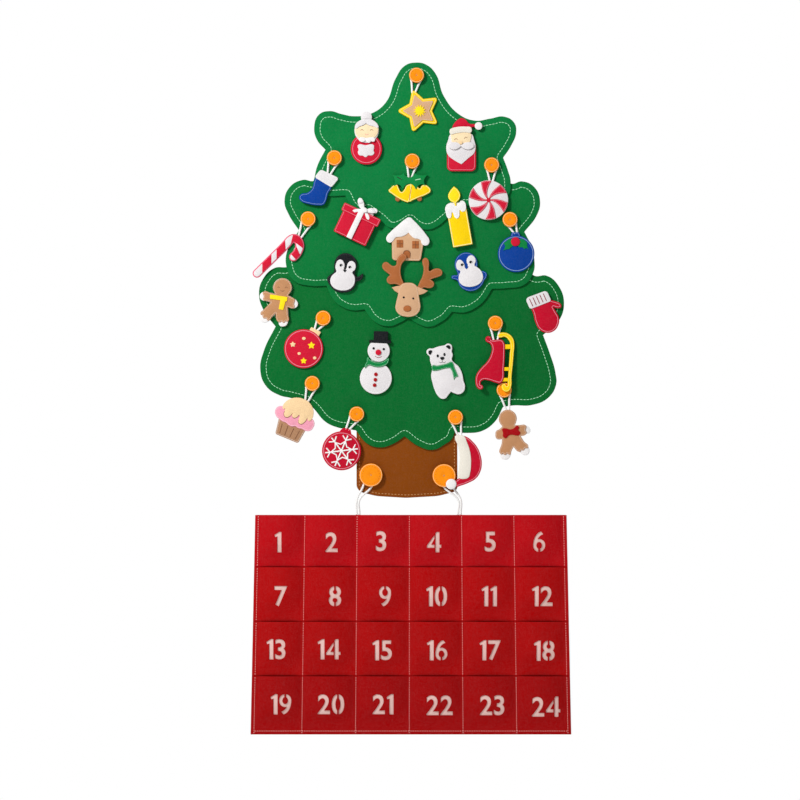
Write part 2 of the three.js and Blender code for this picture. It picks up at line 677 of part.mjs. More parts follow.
function redCap() {
  const band = rounded([
    [-10, 27.5, 1], [3, 29.5, 1], [9.5, 14, 30], [13.8, -4, 30], [12, -20, 20], [8.5, -31.5, 4], [-6, -31.5, 2],
    [-4.2, -16, 30], [-4, 2, 30],
  ]);
  const crown = rounded([
    [2, 29.5, 0], [16, 21, 14], [27, 5, 16], [29, -12, 16], [21, -28, 12], [7, -38.5, 12], [-9.5, -43, 2],
    [-12, -36.5, 2], [0, -31, 0],
  ]);
  const pompom = disc(-15.2, -39.5, 7.4);
  return joined([...base(crown), ...raised(1, band, pompom)]);
}

const scarfedCollar = [
  rounded([[-9.5, 6.8, 1], [13.5, 1.5, 1], [12, -4.2, 0], [-9, 0.8, 1]]),
  rounded([[6.5, 1, 0], [13, 0, 0], [10, -14.5, 1], [3.8, -13.4, 1]]),
];

const bow = [
  rounded([
    [0, 2.6, 2], [-12.6, 6, 3], [-10.5, 0, 2], [-9.4, -7, 3], [0, -2.6, 2], [11, -1, 3], [9.4, 5, 2], [9, 11, 3],
  ]),
];

const scarfedGingerbread = () =>
  gingerbread({
    head: [7.8, 17.2],
    arms: [[-18.6, 6], [24.4, -5.4]],
    feet: [[-16.4, -23.6], [9, -30]],
    hip: [-0.5, -8],
    collar: scarfedCollar,
  });

const bowedGingerbread = () =>
  gingerbread({
    head: [-4.8, 19],
    arms: [[-15.6, -4.4], [20, 2]],
    feet: [[-7.6, -31], [18, -24.6]],
    hip: [1.5, -8],
    collar: bow,
  });

// Planes of the pieces that lie over others
const OVER_TOP = TOP_FRONT - GAP;
const OVER_MIDDLE = MIDDLE_FRONT - GAP;
const OVER_BOTTOM = BOTTOM_FRONT - GAP;
const OVER_SMALL_BUTTON = BOTTOM_FRONT - SHANK_LENGTH - BUTTON_THICK - GAP;
const OVER_BIG_BUTTON = TRUNK_FRONT - SHANK_LENGTH - BIG_BUTTON_THICK - GAP;

// A flat back that touches the plane y1 at height z1 and the plane y2 at height z2 of its own frame.
function leaning(y1, z1, y2, z2) {
  const lean = Math.asin((y2 - y1) / (z1 - z2));
  return { plane: y1 + z1 * Math.sin(lean), lean };
}

// The house lies over the foot of the top tier, and the reindeer's antlers lie over the foot of the house.
const HOUSE = leaning(OVER_TOP, 21, OVER_MIDDLE, -22.3);
const ANTLERS_ON_HOUSE = -14;
const OVER_HOUSE = HOUSE.plane - ANTLERS_ON_HOUSE * Math.sin(HOUSE.lean) - PLY - 2 * GAP;

// Where each ornament sits. Those with a tie hang by a loop, and the others hold by a hook patch.
const ORNAMENTS = [
  { name: "star", make: star, at: [10.6, -52.5], plane: OVER_TOP, tie: [-8.2, 26.5],
    shank: [6.4, -2.8], on: TOP_FRONT, colour: YELLOW },
  { name: "stocking", make: stocking, at: [-128.8, -159.6], plane: OVER_TOP, tie: [13, 19.7],
    shank: [-108.5, -118.2], on: TOP_FRONT, colour: BLUE },
  { name: "bells", make: bells, at: [-3.5, -162.4], plane: OVER_TOP, tie: [1, 17.6],
    shank: [0.4, -122.8], on: TOP_FRONT, colour: YELLOW },
  { name: "peppermint", make: peppermint, at: [106.8, -177.1], plane: OVER_TOP, tie: [4, 27.3],
    shank: [111.3, -128.1], on: TOP_FRONT, colour: WHITE },
  { name: "blue_ball", make: blueBall, at: [145.6, -252], plane: OVER_MIDDLE, tie: [-1, 30.2],
    shank: [137, -204.2], on: MIDDLE_FRONT, colour: BLUE },
  { name: "candy_cane", make: candyCane, at: [-184.8, -246.4], plane: OVER_MIDDLE, tie: [28.2, 18.4],
    shank: [-145.2, -203.4], on: MIDDLE_FRONT, colour: RED },
  { name: "red_ball", make: redBall, at: [-151.6, -384.7], plane: OVER_BOTTOM, tie: [17.5, 27],
    shank: [-124.2, -341.9], on: BOTTOM_FRONT, colour: RED },
  { name: "sleigh", make: sleigh, at: [116.2, -403.2], ...leaning(OVER_BOTTOM, 39.5, OVER_SMALL_BUTTON, -28),
    tie: [0.8, 28], shank: [116.6, -349], on: BOTTOM_FRONT, colour: RED },
  { name: "gingerbread_bow", make: bowedGingerbread, at: [138.6, -501.2], plane: OVER_BOTTOM,
    tie: [-4.8, 31.5], shank: [128.8, -442.4], on: BOTTOM_FRONT, colour: TAN },
  { name: "cupcake", make: cupcake, at: [-163.8, -481.6], plane: OVER_BOTTOM, turn: 22.5, tie: [6, 28.8],
    shank: [-139.4, -433.2], on: BOTTOM_FRONT, colour: PINK },
  { name: "snowflake_ball", make: snowflakeBall, at: [-98.6, -527.5], plane: OVER_BOTTOM, tie: [8.3, 30.3],
    shank: [-77.3, -476], on: BOTTOM_FRONT, colour: RED },
  { name: "red_cap", make: redCap, at: [70, -534.8], ...leaning(OVER_BOTTOM, 30, OVER_BIG_BUTTON, -32),
    tie: [-3.4, 28.5], shank: [60.8, -480.5], on: BOTTOM_FRONT, colour: RED },
  { name: "white_haired_figure", make: whiteHairedFigure, at: [-63.7, -105.7], patchOn: OVER_TOP,
    patch: [0, 10], colour: RED },
  { name: "bearded_figure", make: beardedFigure, at: [69, -99.4], patchOn: OVER_TOP, patch: [0, 0], colour: RED },
  { name: "gift", make: gift, at: [-73.9, -202.8], patchOn: OVER_TOP, turn: 25.5, patch: [9, 10],
    colour: RED },
  { name: "candle", make: candle, at: [67.4, -218.4], patchOn: OVER_TOP, turn: -10, patch: [-2, 31],
    colour: YELLOW },
  { name: "house", make: house, at: [-5.6, -239.4], ...HOUSE, patch: [0, -5], patchOn: OVER_MIDDLE,
    colour: TAN },
  { name: "reindeer", make: reindeer, at: [-5.6, -316.4],
    ...leaning(OVER_HOUSE, 63, OVER_MIDDLE - PATCH, -11), patch: [0, -11], patchOn: OVER_MIDDLE,
    colour: TAN },
  { name: "black_penguin", make: () => penguin(1), at: [-95.2, -285.6], patchOn: OVER_MIDDLE, patch: [2, 4],
    colour: BLACK },
  { name: "blue_penguin", make: () => penguin(-1), at: [81, -284], patchOn: OVER_MIDDLE, patch: [0, 0],
    turn: -10, colour: BLUE },
  { name: "gingerbread_scarf", make: scarfedGingerbread, at: [-189, -316.4], patchOn: OVER_BOTTOM,
    patch: [6, 10], colour: TAN },
  { name: "mitten", make: mitten, at: [182, -333.2], patchOn: OVER_BOTTOM, patch: [0, 2], colour: RED },
  { name: "snowman", make: snowman, at: [-50.4, -407.4], patchOn: OVER_BOTTOM, patch: [0, 0], colour: WHITE },
  { name: "polar_bear", make: polarBear, at: [47.6, -421.4], patchOn: OVER_BOTTOM, patch: [0, 0],
    colour: WHITE },
];

// Room in an ornament's edge for the two ends of its cord. It widens outwards, as the cord does.
function tieNotch([x, z], towards) {
  const inside = END_SPREAD + CORD / 2 + 2 * GAP;
  const outside = 4 * CORD;
  const across = new THREE.Vector2(-towards.y, towards.x);
  const corner = (along, side) => {
    const half = inside + (along + NOTCH) * NOTCH_FLARE;
    const point = new THREE.Vector2(x, z);
    point.addScaledVector(towards, along);
    return point.addScaledVector(across, side * half);
  };
  const outline = [corner(-NOTCH, -1), corner(outside, -1), corner(outside, 1), corner(-NOTCH, 1)];
  return plate(outline, TRIM, PLY + 4 * TRIM);
}

function cordAlong(route, steps) {
  const path = new THREE.CatmullRomCurve3(route, false, "centripetal");
  const sides = 8;
  const round = new THREE.EllipseCurve(0, 0, CORD / 2, CORD / 2).getPoints(sides).slice(0, -1);
  return solid(new THREE.ExtrudeGeometry(new THREE.Shape(round), { steps, extrudePath: path }));
}

// A cord's bend over a shank, from one side to the other, when the cord is pulled the way of down.
function bendOver(shank, across, down) {
  const drop = LOOP_BEND - (SHANK + LOOP_SLACK + CORD / 2);
  const centre = shank.clone().addScaledVector(down, drop);
  const steps = 6;
  const points = [];
  for (let step = 0; step <= steps; step++) {
    const angle = (Math.PI * step) / steps;
    const point = centre.clone().addScaledVector(across, LOOP_BEND * Math.cos(angle));
    points.push(point.addScaledVector(down, -LOOP_BEND * Math.sin(angle)));
  }
  return points;
}

// A cord that runs from an ornament over a shank and back.
function cordLoop(shank, ends) {
  const middle = ends[0].clone().add(ends[1]).multiplyScalar(0.5);
  const down = middle.sub(shank).setY(0).normalize();
  const across = ends[0].clone().sub(ends[1]).setY(0).normalize();
  const bend = bendOver(shank, across, down);
  const leg = (end, top) => [end, end.clone().lerp(top, 0.5).setY(shank.y)];
  const route = [...leg(ends[0], bend[0]), ...bend, ...leg(ends[1], bend.at(-1)).reverse()];
  return cordAlong(route, 12);
}

// The patch of hook tape lies flat on the felt, also where the ornament in front of it leans.
function hookPatch(holder, [x, z], back) {
  const centre = holder.localToWorld(new THREE.Vector3(x, -PLY / 2, z));
  const half = PATCH_SIDE / 2;
  const square = box(centre.x - half, centre.z - half, centre.x + half, centre.z + half);
  const patch = plate(square, back, back - centre.y);
  return patch.transform(holder.matrixWorld.clone().invert().elements);
}

function addOrnament(spec) {
  const holder = new THREE.Group();
  const { at, turn = 0, lean = 0, patch, patchOn, plane = patchOn - PATCH, tie, shank, on } = spec;
  holder.position.set(at[0], plane, at[1]);
  holder.rotation.set(lean, turn * TURN, 0);
  calendar.add(holder);
  holder.updateMatrixWorld(true);
  let made = spec.make();
  if (patch) made = made.add(hookPatch(holder, patch, patchOn));
  if (tie) {
    const centre = new THREE.Vector3(shank[0], on - SHANK_LENGTH / 2, shank[1]);
    const local = holder.worldToLocal(centre.clone());
    const towards = new THREE.Vector2(local.x - tie[0], local.z - tie[1]).normalize();
    made = made.subtract(tieNotch(tie, towards));
    const ends = [1, -1].map((side) => {
      const sunk = NOTCH - 2 * GAP;
      const x = tie[0] - towards.x * sunk - towards.y * side * END_SPREAD;
      const z = tie[1] - towards.y * sunk + towards.x * side * END_SPREAD;
      return holder.localToWorld(new THREE.Vector3(x, -PLY / 2, z));
    });
    piece("loop_" + spec.name, cordLoop(centre, ends), WHITE);
    piece("button_" + spec.name, button(shank[0], on, shank[1], BUTTON, BUTTON_THICK), ORANGE);
  }
  piece(spec.name, made, spec.colour, holder);
}

ORNAMENTS.forEach(addOrnament);

// Pocket panel

const PANEL_BACK = WALL;
const PANEL_FACE = PANEL_BACK - FELT;

function panelWidth(z) {
  return THREE.MathUtils.lerp(PANEL_TOP_WIDTH, PANEL_BOTTOM_WIDTH, (PANEL_TOP - z) / PANEL_HEIGHT);
}

// Where the seams stand, as shares of the panel's width.
const SEAMS = (() => {
  const inner = (PANEL_TOP_WIDTH - 2 * HEM - LEFT_POCKET - RIGHT_POCKET) / (COLUMNS - 2);
  const across = [HEM, HEM + LEFT_POCKET];
  for (let column = 1; column < COLUMNS - 1; column++) across.push(across.at(-1) + inner);
  across.push(PANEL_TOP_WIDTH - HEM);
  return across.map((x) => x / PANEL_TOP_WIDTH);
})();

function seamX(seam, z) {
  return PANEL_MIDDLE + (SEAMS[seam] - 0.5) * panelWidth(z);
}

function panelBacking() {
  const foot = PANEL_TOP - PANEL_HEIGHT;
  const corners = [
    [PANEL_MIDDLE - PANEL_TOP_WIDTH / 2, PANEL_TOP, 2],
    [PANEL_MIDDLE + PANEL_TOP_WIDTH / 2, PANEL_TOP, 2],
    [PANEL_MIDDLE + PANEL_BOTTOM_WIDTH / 2, foot, 2],
    [PANEL_MIDDLE - PANEL_BOTTOM_WIDTH / 2, foot, 2],
  ];
  return plate(rounded(corners), PANEL_BACK, FELT);
}

function mouthZ(row) {
  return PANEL_TOP - (row ? FIRST_ROW + (row - 1) * ROW_HEIGHT : 0);
}

// How far a pocket's inner face stands off the backing: nothing at its seams and foot, and its full depth
// midway between the seams in the upper half.
function standOff(across, down) {
  const fade = THREE.MathUtils.clamp(2 * down - 1, 0, 1);
  return POCKET_DEPTH * Math.sin(across * Math.PI) ** 0.8 * Math.cos((fade * Math.PI) / 2) ** 2;
}

// One strip of felt with its pockets: a grid of points on its inner and its outer face.
function pocketRow(row) {
  const top = mouthZ(row);
  const foot = row === ROWS - 1 ? PANEL_TOP - PANEL_HEIGHT : mouthZ(row + 1) + GAP;
  const height = row ? ROW_HEIGHT : FIRST_ROW;
  const pocketFoot = height - FOOT_LAND;
  const drops = [0, 0.5, 0.76, 1].map((share) => share * pocketFoot);
  drops.push(top - foot);
  const columns = [];
  const arcSteps = 4;
  columns.push({ seam: 0, inset: -HEM, share: 0 });
  for (let pocket = 0; pocket < COLUMNS; pocket++) {
    columns.push({ seam: pocket, inset: pocket ? -SEAM_LAND : 0, share: 0 });
    for (let step = 0; step <= arcSteps; step++) {
      columns.push({ seam: pocket, step, share: step / arcSteps });
    }
  }
  columns.push({ seam: COLUMNS, inset: 0, share: 0 }, { seam: COLUMNS, inset: HEM, share: 0 });
  const x = ({ seam, step, inset }, z) => {
    if (step === undefined) return seamX(seam, z) + inset;
    const left = seamX(seam, z) + SEAM_LAND;
    const right = seamX(seam + 1, z) - SEAM_LAND;
    return THREE.MathUtils.lerp(left, right, step / arcSteps);
  };
  const face = (thickness) =>
    drops.map((drop) =>
      columns.map((column) => {
        const z = top - drop;
        const off = standOff(column.share, drop / pocketFoot);
        return new THREE.Vector3(x(column, z), PANEL_FACE - off - thickness, z);
      }),
    );
  return sheetSolid(face(0), face(STRIP));
}

// A closed solid between two grids of points, the back one and the front one.
function sheetSolid(back, front) {
  const triangles = [];
  const quad = (a, b, c, d) => triangles.push(a, b, c, a, c, d);
  const rows = back.length - 1;
  const columns = back[0].length - 1;
  for (let i = 0; i < rows; i++) {
    for (let j = 0; j < columns; j++) {
      quad(front[i][j], front[i + 1][j], front[i + 1][j + 1], front[i][j + 1]);
      quad(back[i][j], back[i][j + 1], back[i + 1][j + 1], back[i + 1][j]);
    }
    quad(back[i][0], back[i + 1][0], front[i + 1][0], front[i][0]);
    quad(front[i][columns], front[i + 1][columns], back[i + 1][columns], back[i][columns]);
  }
  for (let j = 0; j < columns; j++) {
    quad(back[0][j], front[0][j], front[0][j + 1], back[0][j + 1]);
    quad(front[rows][j], back[rows][j], back[rows][j + 1], front[rows][j + 1]);
  }
  const geometry = new THREE.BufferGeometry().setFromPoints(triangles);
  return solid(geometry);
}

piece("panel_backing", panelBacking(), PANEL_RED);
for (let row = 0; row < ROWS; row++) {
  piece("pocket_row_" + (row + 1), pocketRow(row), PANEL_RED);
}

// The two cords of the panel, each from its top edge beside a seam, over a large button's shank, and back
const CORD_FEET = {
  left: { seam: 2, beside: 1.3 },
  right: { seam: 4, beside: -2.9 },
};

function panelCord(side) {
  const [x, z] = BIG_BUTTONS[side];
  const { seam, beside } = CORD_FEET[side];
  const footX = seamX(seam, PANEL_TOP) + beside;
  const footY = PANEL_BACK - FELT / 2;
  const shank = new THREE.Vector3(x, TRUNK_FRONT - SHANK_LENGTH / 2, z);
  const down = new THREE.Vector3(footX - x, 0, PANEL_TOP - z).normalize();
  const across = new THREE.Vector3(-down.z, 0, down.x);
  const leg = (hand) => [
    new THREE.Vector3(footX + hand * END_SPREAD, footY, PANEL_TOP + GAP),
    new THREE.Vector3(footX + hand * END_SPREAD, footY, PANEL_TOP + GAP + CORD),
    new THREE.Vector3(footX + hand * END_SPREAD, shank.y, TRUNK_FOOT - CORD),
    shank.clone().addScaledVector(across, hand * LOOP_BEND * 0.75).addScaledVector(down, BIG_BUTTON),
  ];
  return cordAlong([...leg(1), ...bendOver(shank, across, down), ...leg(-1).reverse()], 26);
}

piece("panel_cord_left", panelCord("left"), WHITE);
piece("panel_cord_right", panelCord("right"), WHITE);

export default calendar;
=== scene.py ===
# Looks of the felt advent calendar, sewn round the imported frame. Metres, +Z up, front towards -Y.
# Patterns and ornaments are drawn in millimetres, and a place matrix puts them in the frame.

import math
import random

import bmesh
import bpy
from mathutils import Matrix, Vector
from mathutils.bvhtree import BVHTree
from mathutils.geometry import delaunay_2d_cdt
from mathutils.kdtree import KDTree


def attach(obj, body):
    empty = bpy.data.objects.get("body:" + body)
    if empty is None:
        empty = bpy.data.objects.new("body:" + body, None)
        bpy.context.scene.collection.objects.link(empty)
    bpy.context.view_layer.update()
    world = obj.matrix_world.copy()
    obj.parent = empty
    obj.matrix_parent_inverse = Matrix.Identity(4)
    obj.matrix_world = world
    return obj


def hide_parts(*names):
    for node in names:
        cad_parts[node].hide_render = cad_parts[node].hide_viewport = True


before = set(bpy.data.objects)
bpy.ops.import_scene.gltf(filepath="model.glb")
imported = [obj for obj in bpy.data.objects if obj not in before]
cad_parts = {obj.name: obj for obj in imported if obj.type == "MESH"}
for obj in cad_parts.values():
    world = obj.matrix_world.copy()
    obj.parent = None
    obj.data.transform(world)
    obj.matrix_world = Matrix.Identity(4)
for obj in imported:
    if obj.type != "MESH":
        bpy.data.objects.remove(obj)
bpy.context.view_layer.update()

MM = 0.001
FLAT = Matrix.Scale(MM, 4)

# Camera, straight on, where 1.4 mm of the calendar is one of the picture's 800 pixels
PIXEL = 1.4
PICTURE = 800
VIEW_CENTRE = (-16.8, -456.4)
CAMERA_AWAY = 5.0
SENSOR = 36

lens = bpy.data.cameras.new("camera")
lens.sensor_width = SENSOR
lens.lens = SENSOR * CAMERA_AWAY / (PICTURE * PIXEL * MM)
camera = bpy.data.objects.new("camera", lens)
camera.location = (VIEW_CENTRE[0] * MM, -CAMERA_AWAY, VIEW_CENTRE[1] * MM)
camera.rotation_euler = (math.radians(90), 0, 0)
bpy.context.scene.collection.objects.link(camera)
bpy.context.scene.camera = camera
bpy.context.scene.view_settings.view_transform = "Standard"

# Sizes shared with the frame, in millimetres
FELT = 3.0
FELT_EDGE = 0.7
TRIM = 1.0
LET_IN = 0.4
GAP = 0.3
CORD = 3.2
SHANK = 3.8
LOOP_SLACK = 0.8
LOOP_BEND = 7.4
LOOP_DROP = LOOP_BEND - (SHANK + LOOP_SLACK + CORD / 2)
SHANK_LENGTH = 3.8
BUTTON = 10.5
BUTTON_THICK = 2.6
BIG_BUTTON = 16.2
BIG_BUTTON_THICK = 3.0
END_SPREAD = 1.8
END_SUNK = 1.9
PATCH = 1.2
PATCH_SIDE = 15
WALL = 4.5
TRUNK_FRONT = 1.5
BOTTOM_FRONT = -1.5
MIDDLE_FRONT = -4.5
TOP_FRONT = -7.5
OVER_TOP = -7.8
OVER_MIDDLE = -4.8
OVER_BOTTOM = -1.8
OVER_SMALL_BUTTON = -8.2
OVER_BIG_BUTTON = -5.6


def leaning(y1, z1, y2, z2):
    """Plane and lean of a flat back that touches y1 at height z1 and y2 at height z2 of its own frame."""
    lean = math.asin((y2 - y1) / (z1 - z2))
    return y1 + z1 * math.sin(lean), lean


HOUSE = leaning(OVER_TOP, 21, OVER_MIDDLE, -22.3)
OVER_HOUSE = HOUSE[0] + 14 * math.sin(HOUSE[1]) - FELT - 0.6
DEER = leaning(OVER_HOUSE, 63, OVER_MIDDLE - PATCH, -11)
SLEIGH = leaning(OVER_BOTTOM, 39.5, OVER_SMALL_BUTTON, -28)
RED_CAP = leaning(OVER_BOTTOM, 30, OVER_BIG_BUTTON, -32)

# Hung ornaments: place, plane and lean, turn in degrees, where the loop ends, the button's shank, its felt
HUNG = {
    "star": ((10.6, -52.5), (OVER_TOP, 0), 0, (-8.2, 26.5), (6.4, -2.8), TOP_FRONT),
    "stocking": ((-128.8, -159.6), (OVER_TOP, 0), 0, (13, 19.7), (-108.5, -118.2), TOP_FRONT),
    "bells": ((-3.5, -162.4), (OVER_TOP, 0), 0, (1, 17.6), (0.4, -122.8), TOP_FRONT),
    "peppermint": ((106.8, -177.1), (OVER_TOP, 0), 0, (4, 27.3), (111.3, -128.1), TOP_FRONT),
    "blue_ball": ((145.6, -252), (OVER_MIDDLE, 0), 0, (-1, 30.2), (137, -204.2), MIDDLE_FRONT),
    "candy_cane": ((-184.8, -246.4), (OVER_MIDDLE, 0), 0, (28.2, 18.4), (-145.2, -203.4), MIDDLE_FRONT),
    "red_ball": ((-151.6, -384.7), (OVER_BOTTOM, 0), 0, (17.5, 27), (-124.2, -341.9), BOTTOM_FRONT),
    "sleigh": ((116.2, -403.2), SLEIGH, 0, (0.8, 28), (116.6, -349), BOTTOM_FRONT),
    "gingerbread_bow": ((138.6, -501.2), (OVER_BOTTOM, 0), 0, (-4.8, 31.5), (128.8, -442.4), BOTTOM_FRONT),
    "cupcake": ((-163.8, -481.6), (OVER_BOTTOM, 0), 22.5, (6, 28.8), (-139.4, -433.2), BOTTOM_FRONT),
    "snowflake_ball": ((-98.6, -527.5), (OVER_BOTTOM, 0), 0, (8.3, 30.3), (-77.3, -476), BOTTOM_FRONT),
    "red_cap": ((70, -534.8), RED_CAP, 0, (-3.4, 28.5), (60.8, -480.5), BOTTOM_FRONT),
}

# Ornaments that hold by a hook patch: place, plane and lean, turn, the patch's place, the felt's front
PATCHED = {
    "white_haired_figure": ((-63.7, -105.7), (OVER_TOP - PATCH, 0), 0, (0, 10), OVER_TOP),
    "bearded_figure": ((69, -99.4), (OVER_TOP - PATCH, 0), 0, (0, 0), OVER_TOP),
    "gift": ((-73.9, -202.8), (OVER_TOP - PATCH, 0), 25.5, (9, 10), OVER_TOP),
    "candle": ((67.4, -218.4), (OVER_TOP - PATCH, 0), -10, (-2, 31), OVER_TOP),
    "house": ((-5.6, -239.4), HOUSE, 0, (0, -5), OVER_MIDDLE),
    "reindeer": ((-5.6, -316.4), DEER, 0, (0, -11), OVER_MIDDLE),
    "black_penguin": ((-95.2, -285.6), (OVER_MIDDLE - PATCH, 0), 0, (2, 4), OVER_MIDDLE),
    "blue_penguin": ((81, -284), (OVER_MIDDLE - PATCH, 0), 0, (0, 0), OVER_MIDDLE),
    "gingerbread_scarf": ((-189, -316.4), (OVER_BOTTOM - PATCH, 0), 0, (6, 10), OVER_BOTTOM),
    "mitten": ((182, -333.2), (OVER_BOTTOM - PATCH, 0), 0, (0, 2), OVER_BOTTOM),
    "snowman": ((-50.4, -407.4), (OVER_BOTTOM - PATCH, 0), 0, (0, 0), OVER_BOTTOM),
    "polar_bear": ((47.6, -421.4), (OVER_BOTTOM - PATCH, 0), 0, (0, 0), OVER_BOTTOM),
}


def place_of(name):
    (x, z), (plane, lean), turn = (HUNG.get(name) or PATCHED[name])[:3]
    moved = Matrix.Translation((x * MM, plane * MM, z * MM))
    turned = Matrix.Rotation(lean, 4, "X") @ Matrix.Rotation(math.radians(turn), 4, "Y")
    return moved @ turned @ FLAT


# Shader nodes

class Value:
    """One output of a node. Arithmetic on it adds Math nodes."""

    def __init__(self, finish, socket):
        self.finish = finish
        self.socket = socket

    def sum(self, operation, left, right):
        return self.finish.node("ShaderNodeMath", {"operation": operation}, {0: left, 1: right})

    def __add__(self, other):
        return self.sum("ADD", self, other)

    def __sub__(self, other):
        return self.sum("SUBTRACT", self, other)

    def __rsub__(self, other):
        return self.sum("SUBTRACT", other, self)

    def __mul__(self, other):
        return self.sum("MULTIPLY", self, other)

    def __pow__(self, other):
        return self.sum("POWER", self, other)

    def __abs__(self):
        return self.sum("ABSOLUTE", self, 0)

    __radd__ = __add__
    __rmul__ = __mul__


class Finish:
    """A material, with its Principled shader as surface."""

    def __init__(self, name):
        self.material = bpy.data.materials.new(name)
        self.material.use_nodes = True
        self.tree = self.material.node_tree
        self.surface = self.tree.nodes["Principled BSDF"]

    def feed(self, socket, value):
        if isinstance(value, Value):
            self.tree.links.new(value.socket, socket)
        else:
            socket.default_value = value

    def node(self, kind, settings=None, values=None, output=0):
        made = self.tree.nodes.new(kind)
        for key, value in (settings or {}).items():
            setattr(made, key, value)
        for key, value in (values or {}).items():
            self.feed(made.inputs[key], value)
        return Value(self, made.outputs[output])

    def surface_is(self, **values):
        for key, value in values.items():
            self.feed(self.surface.inputs[key.replace("_", " ")], value)

    def noise(self, where, scale, detail=3, roughness=0.6, distortion=0):
        values = {"Vector": where, "Scale": scale, "Detail": detail, "Roughness": roughness,
                  "Distortion": distortion}
        return self.node("ShaderNodeTexNoise", None, values)

    def turned(self, where, angles, scale):
        return self.node("ShaderNodeMapping", None, {"Vector": where, "Rotation": angles, "Scale": scale})

    def mix(self, share, a, b):
        return self.node("ShaderNodeMix", {"data_type": "RGBA"}, {0: share, 6: a, 7: b}, 2)

    def scaled(self, rgb, value):
        return self.node("ShaderNodeVectorMath", {"operation": "SCALE"}, {0: rgb, "Scale": value})

    def bump(self, height, strength, distance):
        return self.node("ShaderNodeBump", None,
                         {"Height": height, "Strength": strength, "Distance": distance})


def rgb_of(code):
    """Linear red, green and blue of a colour written as on a screen."""
    parts = [int(code[i:i + 2], 16) / 255 for i in (0, 2, 4)]
    return tuple(p / 12.92 if p < 0.04045 else ((p + 0.055) / 1.055) ** 2.4 for p in parts)


def paler(code, share):
    """The colour code moved a share of the way to white."""
    parts = [int(code[i:i + 2], 16) for i in (0, 2, 4)]
    return "".join("%02x" % round(p + (255 - p) * share) for p in parts)


def felt(name, code, mottle=0.1, fuzz=0.05):
    """Pressed wool: cloudy colour, a matted nap and single fibres that cross each other."""
    finish = Finish(name)
    rgb = rgb_of(code)
    where = finish.node("ShaderNodeTexCoord", output="Object")
    cloud = finish.noise(where, 60, 4, 0.6)
    nap = finish.noise(where, 700, 5, 0.7)
    fibres = None
    for angles, scale in [((0.3, 0.5, 0.2), (520, 520, 110)), ((1.2, 0.4, 1.3), (110, 560, 560)),
                          ((0.2, 1.4, 0.7), (560, 160, 300))]:
        strand = finish.noise(finish.turned(where, angles, scale), 1, 2, 0.5, 1.4)
        ridge = (1 - abs(strand * 2 - 1)) ** 16
        fibres = ridge if fibres is None else fibres + ridge
    shade = 1 - mottle * 1.2 + mottle * cloud * 1.6 + nap * mottle * 0.8
    worn = finish.scaled(rgb, shade)
    light = tuple(c + (1 - c) * 0.18 for c in rgb) + (1,)
    finish.surface_is(
        Base_Color=finish.mix(fibres * fuzz, worn, light),
        Roughness=0.96,
        Specular_IOR_Level=0.0,
        Sheen_Weight=0.03,
        Sheen_Roughness=0.5,
        Sheen_Tint=rgb + (1,),
        Normal=finish.bump(nap * 0.7 + fibres * 0.4, 0.4, 0.0003),
    )
    return finish.material


def cotton(name, code):
    """Spun cotton yarn with a fine lint."""
    finish = Finish(name)
    where = finish.node("ShaderNodeTexCoord", output="Object")
    lint = finish.noise(where, 1500, 4, 0.7, 0.6)
    shade = 0.86 + 0.2 * lint
    finish.surface_is(
        Base_Color=finish.scaled(rgb_of(code), shade),
        Roughness=0.82,
        Specular_IOR_Level=0.25,
        Sheen_Weight=0.15,
        Normal=finish.bump(lint, 0.4, 0.0002),
    )
    return finish.material


def webbing(name, code):
    """Narrow woven tape, with its ribs across and its warp along."""
    finish = Finish(name)
    where = finish.node("ShaderNodeTexCoord", output="Object")
    ribs = finish.node("ShaderNodeTexWave", {"bands_direction": "Z"}, {"Vector": where, "Scale": 260}, 1)
    warp = finish.node("ShaderNodeTexWave", {"bands_direction": "X"}, {"Vector": where, "Scale": 320}, 1)
    weave = ribs * 0.6 + warp * 0.4
    finish.surface_is(
        Base_Color=finish.scaled(rgb_of(code), 0.75 + 0.4 * weave),
        Roughness=0.7,
        Normal=finish.bump(weave, 0.6, 0.0003),
    )
    return finish.material


# Colour of each felt, and the record's slot that it belongs to
COLOURS = {
    # The three tier greens darken from the top tier to the bottom one: painted shade, standing in for light
    # that falls off towards the foot of the tree.
    "green_top": ("04773a", "felt_green"),
    "green_middle": ("037134", "felt_green"),
    "green_bottom": ("02672a", "felt_green"),
    "leaf": ("0a8240", "felt_green"),
    "brown": ("854207", "felt_brown"),
    "panel_red": ("a00307", "felt_dark_red"),
    # The four row reds darken from the first row to the fourth: painted shade, standing in for light that
    # falls off towards the foot of the panel.
    "row_1_red": ("b0040f", "felt_dark_red"),
    "row_2_red": ("a80305", "felt_dark_red"),
    "row_3_red": ("a30304", "felt_dark_red"),
    "row_4_red": ("990204", "felt_dark_red"),
    "dark_red": ("a50811", "felt_dark_red"),
    "red": ("cc1734", "felt_red"),
    "rose": ("e0607a", "felt_red"),
    "crimson": ("bf0a2a", "felt_red"),
    "white": ("e2dedf", "felt_white"),
    "snow": ("edeae9", "felt_white"),
    "ivory": ("e9e3d6", "felt_white"),
    "orange": ("fa900c", "felt_orange"),
    "yellow": ("f8d008", "felt_yellow"),
    "sun": ("ffdf1c", "felt_yellow"),
    "blue": ("083e94", "felt_blue"),
    "black": ("191b1e", "felt_black"),
    "tan": ("d2a781", "felt_tan"),
    "biscuit": ("be8a61", "felt_tan"),
    "antler": ("ab6538", None),
    "wrapper": ("ac8160", None),
    "cream": ("f1cf9f", None),
    "skin": ("f5ddb3", None),
    "pink": ("ee9fb4", "felt_pink"),
    "hook": ("e4e4e2", None),
    # The lining is white felt, painted a pinkish grey: painted shade and red bounce light for its place
    # inside the cut-out numbers.
    "lining": ("e2bdb5", None),
}
FELTS = {name: felt("felt_" + name, code) for name, (code, slot) in COLOURS.items()}
EDGE_LIGHT = {"black": 0.16, "blue": 0.5, "red": 0.5, "crimson": 0.55, "antler": 0.25, "tan": 0.35}
